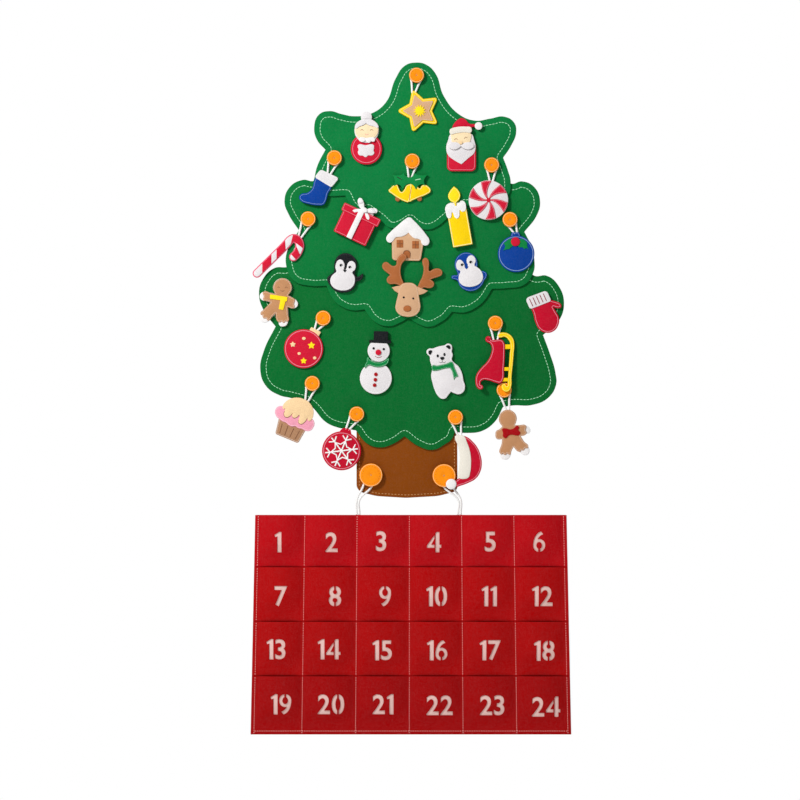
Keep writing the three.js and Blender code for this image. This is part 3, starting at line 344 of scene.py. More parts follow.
EDGES = {name: felt("seam_" + name, paler(code, EDGE_LIGHT.get(name, 0.6)), 0.06, 0.1)
         for name, (code, slot) in COLOURS.items()}
CORD_FINISH = cotton("cotton_cord", "f4f3f1")
THREADS = {
    "mint": cotton("thread_mint", "b4ecc4"),
    "sand": cotton("thread_sand", "d09a63"),
    "pale_pink": cotton("thread_pale_pink", "f0a9a4"),
    "rust": cotton("thread_rust", "c8600c"),
    "brown": cotton("thread_brown", "7a4a2c"),
    "grey": cotton("thread_grey", "b9b4b4"),
    "black": cotton("thread_black", "17181a"),
    "white": cotton("thread_white", "f6f4f2"),
    "maroon": cotton("thread_maroon", "8d1020"),
}


# Shapes: a bmesh with one flat face in the XZ plane, in millimetres

def made_of(curve):
    """The curve or text as a bmesh. The curve is used up."""
    holder = bpy.data.objects.new(curve.name, curve)
    mesh = bpy.data.meshes.new_from_object(holder)
    shape = bmesh.new()
    shape.from_mesh(mesh)
    bpy.data.objects.remove(holder)
    bpy.data.curves.remove(curve)
    bpy.data.meshes.remove(mesh)
    return shape


def corners(points):
    """A polygon whose corners are (x, z, radius of the corner)."""
    shape = bmesh.new()
    knots = [shape.verts.new((x, 0, z)) for x, z, radius in points]
    shape.faces.new(knots)
    for i, (x, z, radius) in enumerate(points):
        if not radius:
            continue
        here = Vector((x, z))
        back = Vector(points[i - 1][:2]) - here
        ahead = Vector(points[(i + 1) % len(points)][:2]) - here
        half = back.angle(ahead) / 2
        reach = min(radius / math.tan(half), 0.49 * min(back.length, ahead.length))
        rounding = reach * math.tan(half) * (math.pi - 2 * half)
        bmesh.ops.bevel(shape, geom=[knots[i]], offset=reach, offset_type="OFFSET", affect="VERTICES",
                        segments=max(2, min(14, round(rounding / 1.1))), profile=0.5, material=-1)
    return shape


def drawn(points, steps=6):
    """A smooth outline through (x, z) points. A point with a third number is a sharp corner."""
    outline = bpy.data.curves.new("outline", "CURVE")
    outline.dimensions = "3D"
    outline.resolution_u = steps
    spline = outline.splines.new("BEZIER")
    spline.bezier_points.add(len(points) - 1)
    for knot, (x, z, *sharp) in zip(spline.bezier_points, points):
        knot.co = (x, 0, z)
        knot.handle_left_type = knot.handle_right_type = "VECTOR" if sharp else "AUTO"
    spline.use_cyclic_u = True
    shape = made_of(outline)
    bmesh.ops.remove_doubles(shape, verts=shape.verts, dist=0.02)
    shape.faces.new(in_order(shape))
    return shape


def in_order(shape):
    """The corners of a closed loop of edges, one after another."""
    shape.verts.ensure_lookup_table()
    first = shape.verts[0]
    loop = [first]
    edge = first.link_edges[0]
    corner = edge.other_vert(first)
    while corner != first:
        loop.append(corner)
        edge = next(e for e in corner.link_edges if e != edge)
        corner = edge.other_vert(corner)
    return loop


def oval(x, z, wide, high=None, turn=0, around=44):
    """An ellipse of those two radii, turned in degrees."""
    shape = bmesh.new()
    bmesh.ops.create_circle(shape, cap_ends=True, segments=around, radius=1)
    sized = Matrix.Diagonal((wide, high or wide, 1, 1))
    upright = Matrix.Rotation(math.radians(90), 4, "X")
    put = Matrix.Translation((x, 0, z)) @ Matrix.Rotation(math.radians(turn), 4, "Y")
    bmesh.ops.transform(shape, matrix=put @ upright @ sized, verts=shape.verts)
    return shape


def star_shape(x, z, tips, outer, inner, first, soft):
    """A star whose first tip lies at that angle, and whose tips have that corner radius."""
    points = []
    for i in range(2 * tips):
        reach = inner if i % 2 else outer
        angle = math.radians(first) + i * math.pi / tips
        points.append((x + reach * math.cos(angle), z + reach * math.sin(angle), 0 if i % 2 else soft))
    return corners(points)


def rectangle(x1, z1, x2, z2, radius=0):
    return corners([(x1, z1, radius), (x2, z1, radius), (x2, z2, radius), (x1, z2, radius)])


def outline_of(shape):
    return [Vector((loop.vert.co.x, loop.vert.co.z)) for loop in shape.faces[:][0].loops]


def near(knots, spacing):
    """A tree that finds the nearest point of a closed outline."""
    spots = [spot for spot, way in along(knots, spacing, closed=True)] + knots
    tree = KDTree(len(spots))
    for i, spot in enumerate(spots):
        tree.insert((spot.x, spot.y, 0), i)
    tree.balance()
    return tree


def line_inside(knots, inward, spacing=0.8):
    """Points on the line that runs that far inside a closed outline, or outside it where it is negative."""
    area = sum(a.x * b.y - a.y * b.x for a, b in zip(knots, knots[1:] + knots[:1]))
    hand = 1 if area > 0 else -1
    tree = near(knots, min(spacing, abs(inward)))
    kept = []

    def keep(spot, angle):
        moved = spot + Vector((-math.sin(angle), math.cos(angle))) * (hand * inward)
        if tree.find((moved.x, moved.y, 0))[2] > abs(inward) * 0.985:
            kept.append(moved)

    for i, knot in enumerate(knots):
        before, ahead = knot - knots[i - 1], knots[(i + 1) % len(knots)] - knot
        start, stop = math.atan2(before.y, before.x), math.atan2(ahead.y, ahead.x)
        bend = (stop - start + math.pi) % (2 * math.pi) - math.pi
        if bend * hand * inward < 0:
            steps = 1 + int(abs(bend) / 0.4)
            for step in range(steps + 1):
                keep(knot, start + bend * step / steps)
        count = max(1, round(ahead.length / spacing))
        for step in range(count):
            keep(knot + ahead * ((step + 0.5) / count), stop)
    return kept


def ply(shape, back, front, edge=0.5):
    """Gives a flat shape its thickness, from back to front of its ornament, with a soft edge.

    The front is filled between the outline and lines inside it, and falls off towards the outline.
    """
    edge = min(edge, 0.6 * (front - back))
    knots = outline_of(shape)
    shape.free()
    points, lines = [], []
    for ring in (knots, line_inside(knots, 0.3 * edge, 0.7), line_inside(knots, edge, 0.7)):
        first = len(points)
        points += ring
        lines += [(first + i, first + (i + 1) % len(ring)) for i in range(len(ring))]
    spots, _, faces, *_ = delaunay_2d_cdt(points, lines, [], 1, 0.0001)
    tree = near(knots, 0.25)
    made = bmesh.new()
    for spot in spots:
        inward = min(edge, tree.find((spot.x, spot.y, 0))[2])
        rise = math.sqrt(max(0, edge ** 2 - (edge - inward) ** 2))
        made.verts.new((spot.x, edge - rise - front, spot.y))
    made.verts.ensure_lookup_table()
    for face in faces:
        made.faces.new([made.verts[i] for i in face])
    rim = [line for line in made.edges if line.is_boundary]
    wall = bmesh.ops.extrude_edge_only(made, edges=rim)["geom"]
    for part in wall:
        if isinstance(part, bmesh.types.BMVert):
            part.co.y = -back
    foot = [part for part in wall if isinstance(part, bmesh.types.BMEdge)]
    bmesh.ops.holes_fill(made, edges=foot)
    return made


def plies(shapes, back, front, edge=0.5):
    return [ply(shape, back, front, edge) for shape in shapes]


def seam_lines(shapes, height, inward, width):
    """A thin pressed line that runs round each flat shape, inside its edge."""
    lines = []
    for shape in shapes:
        path = line_inside(outline_of(shape), inward)
        if len(path) > 8:
            lines.append(thread(path, height - width * 0.25, width * 0.65, closed=True, smooth=False))
    return lines


def tube(points, radius, closed=False, smooth=True, sides=2, ends=True):
    """A round thread along (x, height, z) points, as a bmesh. Height is towards the front."""
    line = bpy.data.curves.new("thread", "CURVE")
    line.dimensions = "3D"
    line.resolution_u = 5
    line.bevel_depth = radius
    line.bevel_resolution = sides
    line.use_fill_caps = ends and not closed
    if smooth:
        spline = line.splines.new("BEZIER")
        spline.bezier_points.add(len(points) - 1)
        for knot, (x, height, z) in zip(spline.bezier_points, points):
            knot.co = (x, -height, z)
            knot.handle_left_type = knot.handle_right_type = "AUTO"
    else:
        spline = line.splines.new("POLY")
        spline.points.add(len(points) - 1)
        for knot, (x, height, z) in zip(spline.points, points):
            knot.co = (x, -height, z, 1)
    spline.use_cyclic_u = closed
    shape = made_of(line)
    bmesh.ops.remove_doubles(shape, verts=shape.verts, dist=0.001)
    return shape


def thread(points, height, radius=0.45, **how):
    """An embroidered line on the felt at that height, half sunk in it."""
    return tube([(x, height, z) for x, z in points], radius, **how)


def along(path, gap, closed=False):
    """Points and directions at even distances on a line of (x, z) points."""
    spots = [Vector(point) for point in path] + ([Vector(path[0])] if closed else [])
    total = sum((b - a).length for a, b in zip(spots, spots[1:]))
    count = max(1, round(total / gap))
    wanted = [(i + 0.5) * total / count for i in range(count)]
    found = []
    done = 0
    for a, b in zip(spots, spots[1:]):
        length = (b - a).length
        while len(found) < count and wanted[len(found)] <= done + length + 1e-9:
            share = (wanted[len(found)] - done) / length
            found.append((a.lerp(b, share), (b - a).normalized()))
        done += length
    return found


def stitches(path, height, gap=5.4, length=3.6, radius=0.5, closed=False, keep=None, seed=1):
    """A running stitch along a path, each stitch a small pulled-in roll of thread."""
    shape = bmesh.new()
    chance = random.Random(seed)
    for spot, way in along(path, gap, closed):
        if keep and not keep(spot):
            continue
        slant = math.atan2(-way.y, way.x) + chance.uniform(-0.05, 0.05)
        sized = Matrix.Diagonal((length / 2 * chance.uniform(0.9, 1.05), radius * 0.7, radius, 1))
        put = Matrix.Translation((spot.x, -height, spot.y)) @ Matrix.Rotation(slant, 4, "Y") @ sized
        bmesh.ops.create_uvsphere(shape, u_segments=6, v_segments=4, radius=1, matrix=put)
    return shape


# Pieces

def sew(name, shapes, finish, body, place=FLAT, replaces=()):
    """Joins shapes into one piece that rides on a body."""
    mesh = bpy.data.meshes.new(name)
    joined = bmesh.new()
    for shape in shapes:
        shape.to_mesh(mesh)
        joined.from_mesh(mesh)
        shape.free()
    bmesh.ops.recalc_face_normals(joined, faces=joined.faces)
    for face in joined.faces:
        heights = [corner.co.y for corner in face.verts]
        face.smooth = max(heights) - min(heights) > 0.01 or abs(face.normal.y) < 0.5
    joined.transform(place)
    joined.to_mesh(mesh)
    joined.free()
    mesh.set_sharp_from_angle(angle=math.radians(60))
    mesh.materials.append(finish)
    piece = bpy.data.objects.new(name, mesh)
    bpy.context.scene.collection.objects.link(piece)
    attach(piece, body)
    if replaces:
        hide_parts(*replaces)
    return piece


def felt_piece(name, colour, shapes, body, place=FLAT, replaces=()):
    return sew(name, shapes, FELTS[colour], body, place, replaces)


# Cords: the twelve loops, and the two cords that hold the panel

def even_line(knots, spacing):
    """Points at an even spacing on a smooth curve through the knots."""
    line = bpy.data.curves.new("route", "CURVE")
    line.dimensions = "3D"
    line.resolution_u = 16
    spline = line.splines.new("BEZIER")
    spline.bezier_points.add(len(knots) - 1)
    for point, knot in zip(spline.bezier_points, knots):
        point.co = knot
        point.handle_left_type = point.handle_right_type = "AUTO"
    shape = made_of(line)
    route = [corner.co.copy() for corner in shape.verts]
    shape.free()
    total = sum((b - a).length for a, b in zip(route, route[1:]))
    count = round(total / spacing)
    points = [route[0]]
    done = 0
    for a, b in zip(route, route[1:]):
        length = (b - a).length
        while len(points) < count and total * len(points) / count <= done + length:
            points.append(a.lerp(b, (total * len(points) / count - done) / length))
        done += length
    return points + [route[-1]], total


STRANDS = 3
STRAND = 0.86  # radius of a strand
LAY = 8.5  # length of a strand's turn
CORD_STEP = 0.8


def twisted_cord(name, knots, body, node):
    """A cord of three strands along a route in millimetres."""
    route, total = even_line(knots, CORD_STEP)
    strands = []
    for strand in range(STRANDS):
        points = []
        for i, spot in enumerate(route):
            way = (route[min(i + 1, len(route) - 1)] - route[max(i - 1, 0)]).normalized()
            side = way.cross(Vector((0, 1, 0))).normalized()
            up = side.cross(way)
            angle = 2 * math.pi * (i * CORD_STEP / LAY + strand / STRANDS)
            offset = (side * math.cos(angle) + up * math.sin(angle)) * (CORD / 2 - STRAND)
            x, y, z = spot + offset
            points.append((x, -y, z))
        strands.append(tube(points, STRAND, smooth=False, sides=2))
    cord = sew(name, strands, CORD_FINISH, body, FLAT, [node])
    path = [point * MM for point in route[::3] + route[-1:]]
    total * MM
    return cord


def bend_over(shank, across, down):
    """Points of the half circle that a cord takes over a button's shank."""
    centre = shank + down * LOOP_DROP
    angles = [math.pi * step / 6 for step in range(7)]
    return [centre + across * (LOOP_BEND * math.cos(a)) - down * (LOOP_BEND * math.sin(a)) for a in angles]


for name, (at, plane_and_lean, turn, tie, shank_at, front) in HUNG.items():
    place = Matrix.Scale(1 / MM, 4) @ place_of(name)
    shank = Vector((shank_at[0], front - SHANK_LENGTH / 2, shank_at[1]))
    local = place.inverted() @ shank
    towards = Vector((local.x - tie[0], local.z - tie[1])).normalized()
    ends = []
    for side in (1, -1):
        x = tie[0] - towards.x * END_SUNK - towards.y * side * END_SPREAD
        z = tie[1] - towards.y * END_SUNK + towards.x * side * END_SPREAD
        ends.append(place @ Vector((x, -FELT / 2, z)))
    down = (ends[0] + ends[1]) / 2 - shank
    down.y = 0
    down.normalize()
    across = ends[0] - ends[1]
    across.y = 0
    across.normalize()
    bend = bend_over(shank, across, down)
    halfway = []
    for end, top in ((ends[0], bend[0]), (ends[1], bend[-1])):
        middle = end.lerp(top, 0.5)
        middle.y = shank.y
        halfway.append(middle)
    knots = [ends[0], halfway[0], *bend, halfway[1], ends[1]]
    twisted_cord("cord_of_" + name, knots, name, "loop_" + name)

PANEL_TOP = -617.4
PANEL_HEIGHT = 307.3
PANEL_TOP_WIDTH = 436.0
PANEL_BOTTOM_WIDTH = 449.0
PANEL_MIDDLE = -1.5
PANEL_FACE = 1.5
HEM = 4.5
LEFT_POCKET = 65.1
RIGHT_POCKET = 69.5
INNER_POCKET = (PANEL_TOP_WIDTH - 2 * HEM - LEFT_POCKET - RIGHT_POCKET) / 4
SEAMS = [HEM + shift for shift in (0, *(LEFT_POCKET + i * INNER_POCKET for i in range(5)))]
SEAMS.append(PANEL_TOP_WIDTH - HEM)
BIG_BUTTONS = {"left": (-57.4, -561.4), "right": (44.8, -562.2)}
CORD_FEET = {"left": (2, 1.3), "right": (4, -2.9)}
TRUNK_FOOT = -593.5


def panel_width(z):
    return PANEL_TOP_WIDTH + (PANEL_BOTTOM_WIDTH - PANEL_TOP_WIDTH) * (PANEL_TOP - z) / PANEL_HEIGHT


def seam_x(seam, z):
    """The x of an upright seam of the panel at height z."""
    return PANEL_MIDDLE + (SEAMS[seam] / PANEL_TOP_WIDTH - 0.5) * panel_width(z)


for side, (x, z) in BIG_BUTTONS.items():
    seam, beside = CORD_FEET[side]
    foot_x = seam_x(seam, PANEL_TOP) + beside
    foot_y = WALL - FELT / 2
    shank = Vector((x, TRUNK_FRONT - SHANK_LENGTH / 2, z))
    down = Vector((foot_x - x, 0, PANEL_TOP - z)).normalized()
    across = Vector((-down.z, 0, down.x))

    def leg(hand):
        return [
            Vector((foot_x + hand * END_SPREAD, foot_y, PANEL_TOP + GAP)),
            Vector((foot_x + hand * END_SPREAD, foot_y, PANEL_TOP + GAP + CORD)),
            Vector((foot_x + hand * END_SPREAD, shank.y, TRUNK_FOOT - CORD)),
            shank + across * (hand * LOOP_BEND * 0.75) + down * BIG_BUTTON,
        ]

    knots = leg(1) + bend_over(shank, across, down) + leg(-1)[::-1]
    twisted_cord("cord_of_panel_" + side, knots, "tree", "panel_cord_" + side)


# The tree: trunk and three tiers, with a running stitch inside each edge

TOP_TIER = [
    (19.6, 12.6), (32.9, 0), (44.1, -30.8), (64.4, -56), (88.2, -65.8), (109.2, -63), (128.8, -60.2),
    (142.8, -68.6), (145.6, -82.6), (138.6, -100.8), (127.4, -117.6, 0), (133.7, -134.4), (137.9, -151.2),
    (134.4, -170.8), (116.2, -180.6), (92.4, -184.8), (72.8, -184.8, 0), (58.8, -194.6), (47.6, -204.4),
    (35, -214.2), (21.7, -218.4), (8.4, -215), (-2.8, -206, 0), (-14, -213), (-29.4, -216), (-44.8, -204),
    (-61.6, -191.8, 0), (-72.8, -194.6), (-84, -187.6), (-93.2, -170.8, 0), (-121.8, -170), (-137.2, -160),
    (-135.8, -142.8), (-132.3, -128.8), (-121.1, -106.4, 0), (-133, -92.4), (-136.8, -75.6),
    (-130.2, -57.4), (-115.5, -52.4), (-98, -56.7), (-81.2, -59.6), (-57.4, -56), (-36.4, -40),
    (-22.8, -6.6), (-9.8, 11.2), (6, 15.4),
]
MIDDLE_TIER = [
    (131.6, -142.8, 0), (137.9, -153.3), (154, -150.5), (170.8, -158.2), (179.2, -178.5), (174.4, -198.4),
    (157.2, -221.2, 0), (166.6, -240.8), (171.4, -263.2), (170.1, -277.2), (158.2, -294.7), (131.6, -300.2),
    (112, -301, 0), (102.2, -316.4), (92.4, -325.5), (74.2, -333.9), (56, -333.2, 0), (49, -341.6),
    (42, -346.8), (23.8, -354.2), (8.4, -350), (-4.8, -341.2, 0), (-16, -348), (-33.6, -353.5),
    (-53.9, -345.8), (-66.2, -330, 0), (-82.6, -331.1), (-98, -326.2), (-109.8, -316.4), (-119.7, -296.8, 0),
    (-142.8, -296.8), (-165.2, -289.8), (-175.6, -270.2), (-175, -249.2), (-158.2, -219, 0),
    (-172.2, -197.4), (-178.4, -178.5), (-170.8, -158.2), (-152.6, -148.4), (-137.2, -149.8),
    (-128.8, -142.8, 0),
]
BOTTOM_TIER = [
    (156.8, -263.2, 0), (170.8, -282.1), (188.6, -282.4), (204.4, -295.4), (212.8, -322), (204.4, -347.2),
    (183.4, -365.4, 0), (192.6, -390.2), (200.9, -418.6), (201.6, -435.4), (190.4, -453.6), (168, -463.4),
    (141.4, -464.1), (127.4, -466.2, 0), (116.2, -486.6), (98, -499.8), (77, -502.6), (60.2, -501.2, 0),
    (56, -511), (46.2, -518.6), (28.7, -526.4), (8.4, -520.8), (-10.4, -507.5, 0), (-25.2, -517.4),
    (-44.8, -523), (-63, -517.4), (-78.4, -499.1, 0), (-89.6, -497), (-103, -495.2), (-120.8, -487.2),
    (-139, -467), (-148.4, -459.2, 0), (-169.4, -453.6), (-186, -449.6), (-204.4, -436.8), (-212.4, -414.4),
    (-207, -386.4), (-191, -353.6, 0), (-207.2, -331.8), (-214.2, -308), (-208.6, -287), (-192.4, -271.6),
    (-175, -270.2), (-156.8, -263.2, 0),
]
TRUNK = [(-77.7, -450, 0), (63, -450, 0), (63.8, -584, 9), (36, -591, 60), (-8.4, TRUNK_FOOT, 60),
         (-50, -591, 60), (-77.7, -584, 12)]


def cover(node):
    """The frame's piece as a tree that rays can be cast on."""
    shape = bmesh.new()
    shape.from_mesh(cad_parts[node].data)
    shape.transform(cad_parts[node].matrix_world)
    tree = BVHTree.FromBMesh(shape)
    shape.free()
    return tree


COVERS = {node: cover(node) for node in ("tree_tier_top", "tree_tier_middle", "tree_tier_bottom")}


def uncovered(*nodes):
    """A test for points that none of these nodes lies over."""
    def keep(spot):
        start = Vector((spot[0] * MM, -0.1, spot[1] * MM))
        return all(COVERS[node].ray_cast(start, Vector((0, 1, 0)))[0] is None for node in nodes)
    return keep


def cut_sheet(piece, width, length, area, rests_on, with_pieces=()):
    width * MM
    length * MM
    area * MM * MM


def spread(shape):
    """Width, height and area of a flat shape, in millimetres."""
    xs = [corner.co.x for corner in shape.verts]
    zs = [corner.co.z for corner in shape.verts]
    return max(xs) - min(xs), max(zs) - min(zs), shape.faces[:][0].calc_area()


TIER_SEAM = 8.4
TRUNK_SEAM = 4
STITCH_SUNK = 0.18
for name, outline, back, covers in [
    ("top", TOP_TIER, MIDDLE_FRONT, []),
    ("middle", MIDDLE_TIER, BOTTOM_FRONT, ["tree_tier_top"]),
    ("bottom", BOTTOM_TIER, TRUNK_FRONT, ["tree_tier_middle", "tree_tier_top"]),
]:
    shape = drawn(outline, 10)
    path = line_inside(outline_of(shape), TIER_SEAM)
    extent = spread(shape)
    layer = ply(shape, -back, FELT - back, edge=FELT_EDGE)
    # Each lower tier gets a darker green, as painted shade.
    tier = felt_piece("tier_" + name, "green_" + name, [layer], "tree", replaces=["tree_tier_" + name])
    line = sew("stitches_of_tier_" + name,
               [stitches(path, FELT - back - STITCH_SUNK, closed=True, gap=4.6, length=4.7, radius=0.56,
                         keep=uncovered(*covers), seed=len(name))],
               THREADS["mint"], "tree")
    cut_sheet(tier, *extent, ["hanging_loop"], [line])

trunk_shape = corners(TRUNK)
trunk_path = line_inside(outline_of(trunk_shape), TRUNK_SEAM)
trunk_size = spread(trunk_shape)
trunk_layer = ply(trunk_shape, -WALL, -TRUNK_FRONT, edge=FELT_EDGE)
trunk_felt = felt_piece("trunk_felt", "brown", [trunk_layer], "tree", replaces=["trunk"])
trunk_line = sew("stitches_of_trunk",
                 [stitches(trunk_path, -TRUNK_FRONT, closed=True, gap=4.6, length=3.2,
                           keep=uncovered("tree_tier_bottom"), seed=9)],
                 THREADS["sand"], "tree")
cut_sheet(trunk_felt, *trunk_size, ["hanging_loop"], [trunk_line])
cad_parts["hanging_loop"].data.materials.clear()
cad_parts["hanging_loop"].data.materials.append(webbing("webbing", "0a7a3c"))


# Buttons: a felt disc on a wound shank, with a ring of stitches and a pulled-in middle

WINDING = 2.6
YARN = 0.62
STITCH_RING = 0.74


def button_disc(radius, back, front):
    """A felt disc with a rounded rim, in rings that can be pulled in at the middle."""
    disc = bmesh.new()
    rim = [(0, front), (0.08, front), (0.16, front), (0.24, front), (0.32, front), (0.4, front),
           (1 - 0.9 / radius, front), (1 - 0.3 / radius, front - 0.25), (1, front - 0.9), (1, back + 0.5),
           (1 - 0.4 / radius, back), (0, back)]
    line = [disc.verts.new((radius * share, -height, 0)) for share, height in rim]
    edges = [disc.edges.new(pair) for pair in zip(line, line[1:])]
    bmesh.ops.spin(disc, geom=line + edges, cent=(0, 0, 0), axis=(0, 1, 0), dvec=(0, 0, 0),
                   angle=2 * math.pi, steps=72, use_merge=True)
    bmesh.ops.remove_doubles(disc, verts=disc.verts, dist=0.001)
    return disc


def button(name, x, z, front, radius, thick, node=()):
    """A button on the felt whose front is at that y."""
    place = Matrix.Translation((x * MM, front * MM, z * MM)) @ FLAT
    disc = button_disc(radius, SHANK_LENGTH, SHANK_LENGTH + thick)
    rim = seam_lines([oval(0, 0, radius, around=64)], SHANK_LENGTH + thick, 1.1, 0.5)
    for corner in disc.verts:
        away = math.hypot(corner.co.x, corner.co.z)
        if corner.co.y < -SHANK_LENGTH - 0.1 and away < radius * 0.4:
            corner.co.y += 0.8 * math.cos(away / (radius * 0.4) * math.pi / 2) ** 2
    felt_piece(name, "orange", [disc], "tree", place, node)
    sew(name + "_rim", rim, EDGES["orange"], "tree", place)
    winding = []
    turns = 4
    for turn in range(turns):
        height = 0.55 + turn * (SHANK_LENGTH - 1.0) / (turns - 1)
        wound = [(WINDING * math.cos(a * math.pi / 6), height + a * 0.03, WINDING * math.sin(a * math.pi / 6))
                 for a in range(12)]
        winding.append(tube(wound, YARN, closed=True))
    core = ply(oval(0, 0, 2.5, around=20), 0, SHANK_LENGTH, edge=0.1)
    cross = [thread([(-1.5, 0.4), (1.5, -0.4)], SHANK_LENGTH + thick - 0.75, 0.35),
             thread([(-0.4, -1.5), (0.4, 1.5)], SHANK_LENGTH + thick - 0.6, 0.35)]
    sew(name + "_shank", winding + [core] + cross, THREADS["sand"], "tree", place)
    reach = radius * STITCH_RING
    ring = [(reach * math.cos(a * math.pi / 24), reach * math.sin(a * math.pi / 24)) for a in range(48)]
    gap = 2 * math.pi * radius * STITCH_RING / (12 if radius < 12 else 20)
    sew(name + "_stitches", [stitches(ring, SHANK_LENGTH + thick, gap, gap * 0.5, 0.32, closed=True)],
        THREADS["rust"], "tree", place)


for name, (at, plane_and_lean, turn, tie, (x, z), front) in HUNG.items():
    button("button_of_" + name, x, z, front, BUTTON, BUTTON_THICK, ["button_" + name])
for side, (x, z) in BIG_BUTTONS.items():
    button("big_button_" + side, x, z, TRUNK_FRONT, BIG_BUTTON, BIG_BUTTON_THICK)


# Ornaments. Heights are measured from an ornament's back: its base ply is 3 mm, and each trim ply 1 mm more.

class Ornament:
    """Collects the plies and threads of one ornament under its name."""

    def __init__(self, name):
        self.name = name
        self.place = place_of(name)
        self.first = [name]
        if name in PATCHED:
            self.hook_patch(*PATCHED[name][3:])

    def felt(self, part, colour, shapes, back, front, edge=0.5, hem=0, line=0.5):
        lines = seam_lines(shapes, front, hem, line) if hem else []
        felt_piece(self.name + "_" + part, colour, plies(shapes, back, front, edge), self.name, self.place,
                   self.first)
        self.first = ()
        if lines:
            sew(self.name + "_" + part + "_seam", lines, EDGES[colour], self.name, self.place)

    def sewn(self, part, colour, shapes):
        sew(self.name + "_" + part, shapes, THREADS[colour], self.name, self.place)

    def hook_patch(self, spot, felt_front):
        """The square of hook tape lies flat on the felt, also where the ornament leans."""
        centre = self.place @ Vector((spot[0], -FELT / 2, spot[1]))
        x, z = centre.x / MM, centre.z / MM
        half = PATCH_SIDE / 2
        square = ply(rectangle(x - half, z - half, x + half, z + half, 1), -felt_front, -centre.y / MM)
        felt_piece(self.name + "_patch", "hook", [square], self.name)


def base(*shapes, **how):
    """A ply of the base felt's thickness, from the ornament's back."""
    return dict(shapes=list(shapes), back=0, front=FELT, **{"hem": 1.7, **how})


def trim(level, *shapes, **how):
    """A ply that lies on the one below it, and is let into it a little."""
    return dict(shapes=list(shapes), back=FELT + (level - 1) * TRIM - LET_IN, front=FELT + level * TRIM,
                **{"edge": 0.4, **how})


def whole(level, *shapes, **how):
    """A ply that shows past the base, and so goes through nearly to the back."""
    return dict(shapes=list(shapes), back=0.05 + 0.12 * level, front=FELT + level * TRIM, **how)


def star():
    made = Ornament("star")
    made.felt("points", "yellow", **base(star_shape(0, 0, 5, 32.5, 17.5, 108, 3.5)))
    made.felt("inner_star", "tan", **trim(1, star_shape(0, 0, 5, 24.5, 13.5, 108, 1.6), hem=1.0))
    made.felt("sun", "sun", **trim(2, star_shape(0, 0, 12, 9.4, 5.2, 15, 0.3), edge=0.25))


def white_haired_figure():
    made = Ornament("white_haired_figure")
    made.felt("dress", "red", **base(oval(0, 0, 21.8), hem=2.6, line=0.7))
    made.felt("hair", "white", **whole(1, oval(0.3, 25.5, 17), oval(0, 44.2, 7.7)))
    made.felt("apron", "white", **trim(1, drawn([
        (-11.5, 5.6), (-1, 5.2), (9.6, 5.8), (10.8, 3), (10, -2.6), (11, -5.8), (7, -9.3), (3, -9),
        (-1, -11.6), (-5, -9.5), (-9.5, -9), (-12, -5), (-10.9, -1), (-12.3, 3)])))
    made.felt("face", "skin", **trim(2, drawn([
        (-0.6, 34.6, 0), (4, 32.4), (9.5, 31.2), (16, 31), (16.6, 26), (15, 20), (10, 15), (0, 13.4),
        (-9.5, 15), (-14.2, 20), (-15.6, 26), (-15, 29), (-9, 31), (-4, 32.6)])))
    made.felt("collar", "snow", **trim(3, drawn([
        (-9.4, 15.4), (-10.4, 12.4), (-7.6, 9.8), (-4, 9.8), (-1.2, 12, 0), (0.4, 9.4), (4, 8.4),
        (6.6, 11.2, 0), (9.4, 9.8), (12, 12), (11.2, 15.2), (6, 16), (0, 15.2), (-5, 16)]), edge=0.35))
    made.felt("fringe", "white", **trim(3, drawn([
        (-15.4, 28.4), (-15.6, 33), (-11.5, 38), (-5, 41), (0.2, 41.6), (6, 41), (12, 38), (16.2, 33),
        (16.6, 29.6), (10, 31.4), (4.4, 32.6), (-0.6, 35.6, 0), (-4.6, 33), (-9.4, 31.2)]), edge=0.35))
    made.sewn("eyes", "brown", [thread([(x - 2.2, 25.6), (x, 27), (x + 2.2, 25.6)], 5.05, 0.28)
                                for x in (-6.2, 7.2)])
    made.sewn("mouth", "pale_pink", [thread([(-2, 20.6), (0.4, 19.6), (2.8, 20.6)], 5.05, 0.3)])


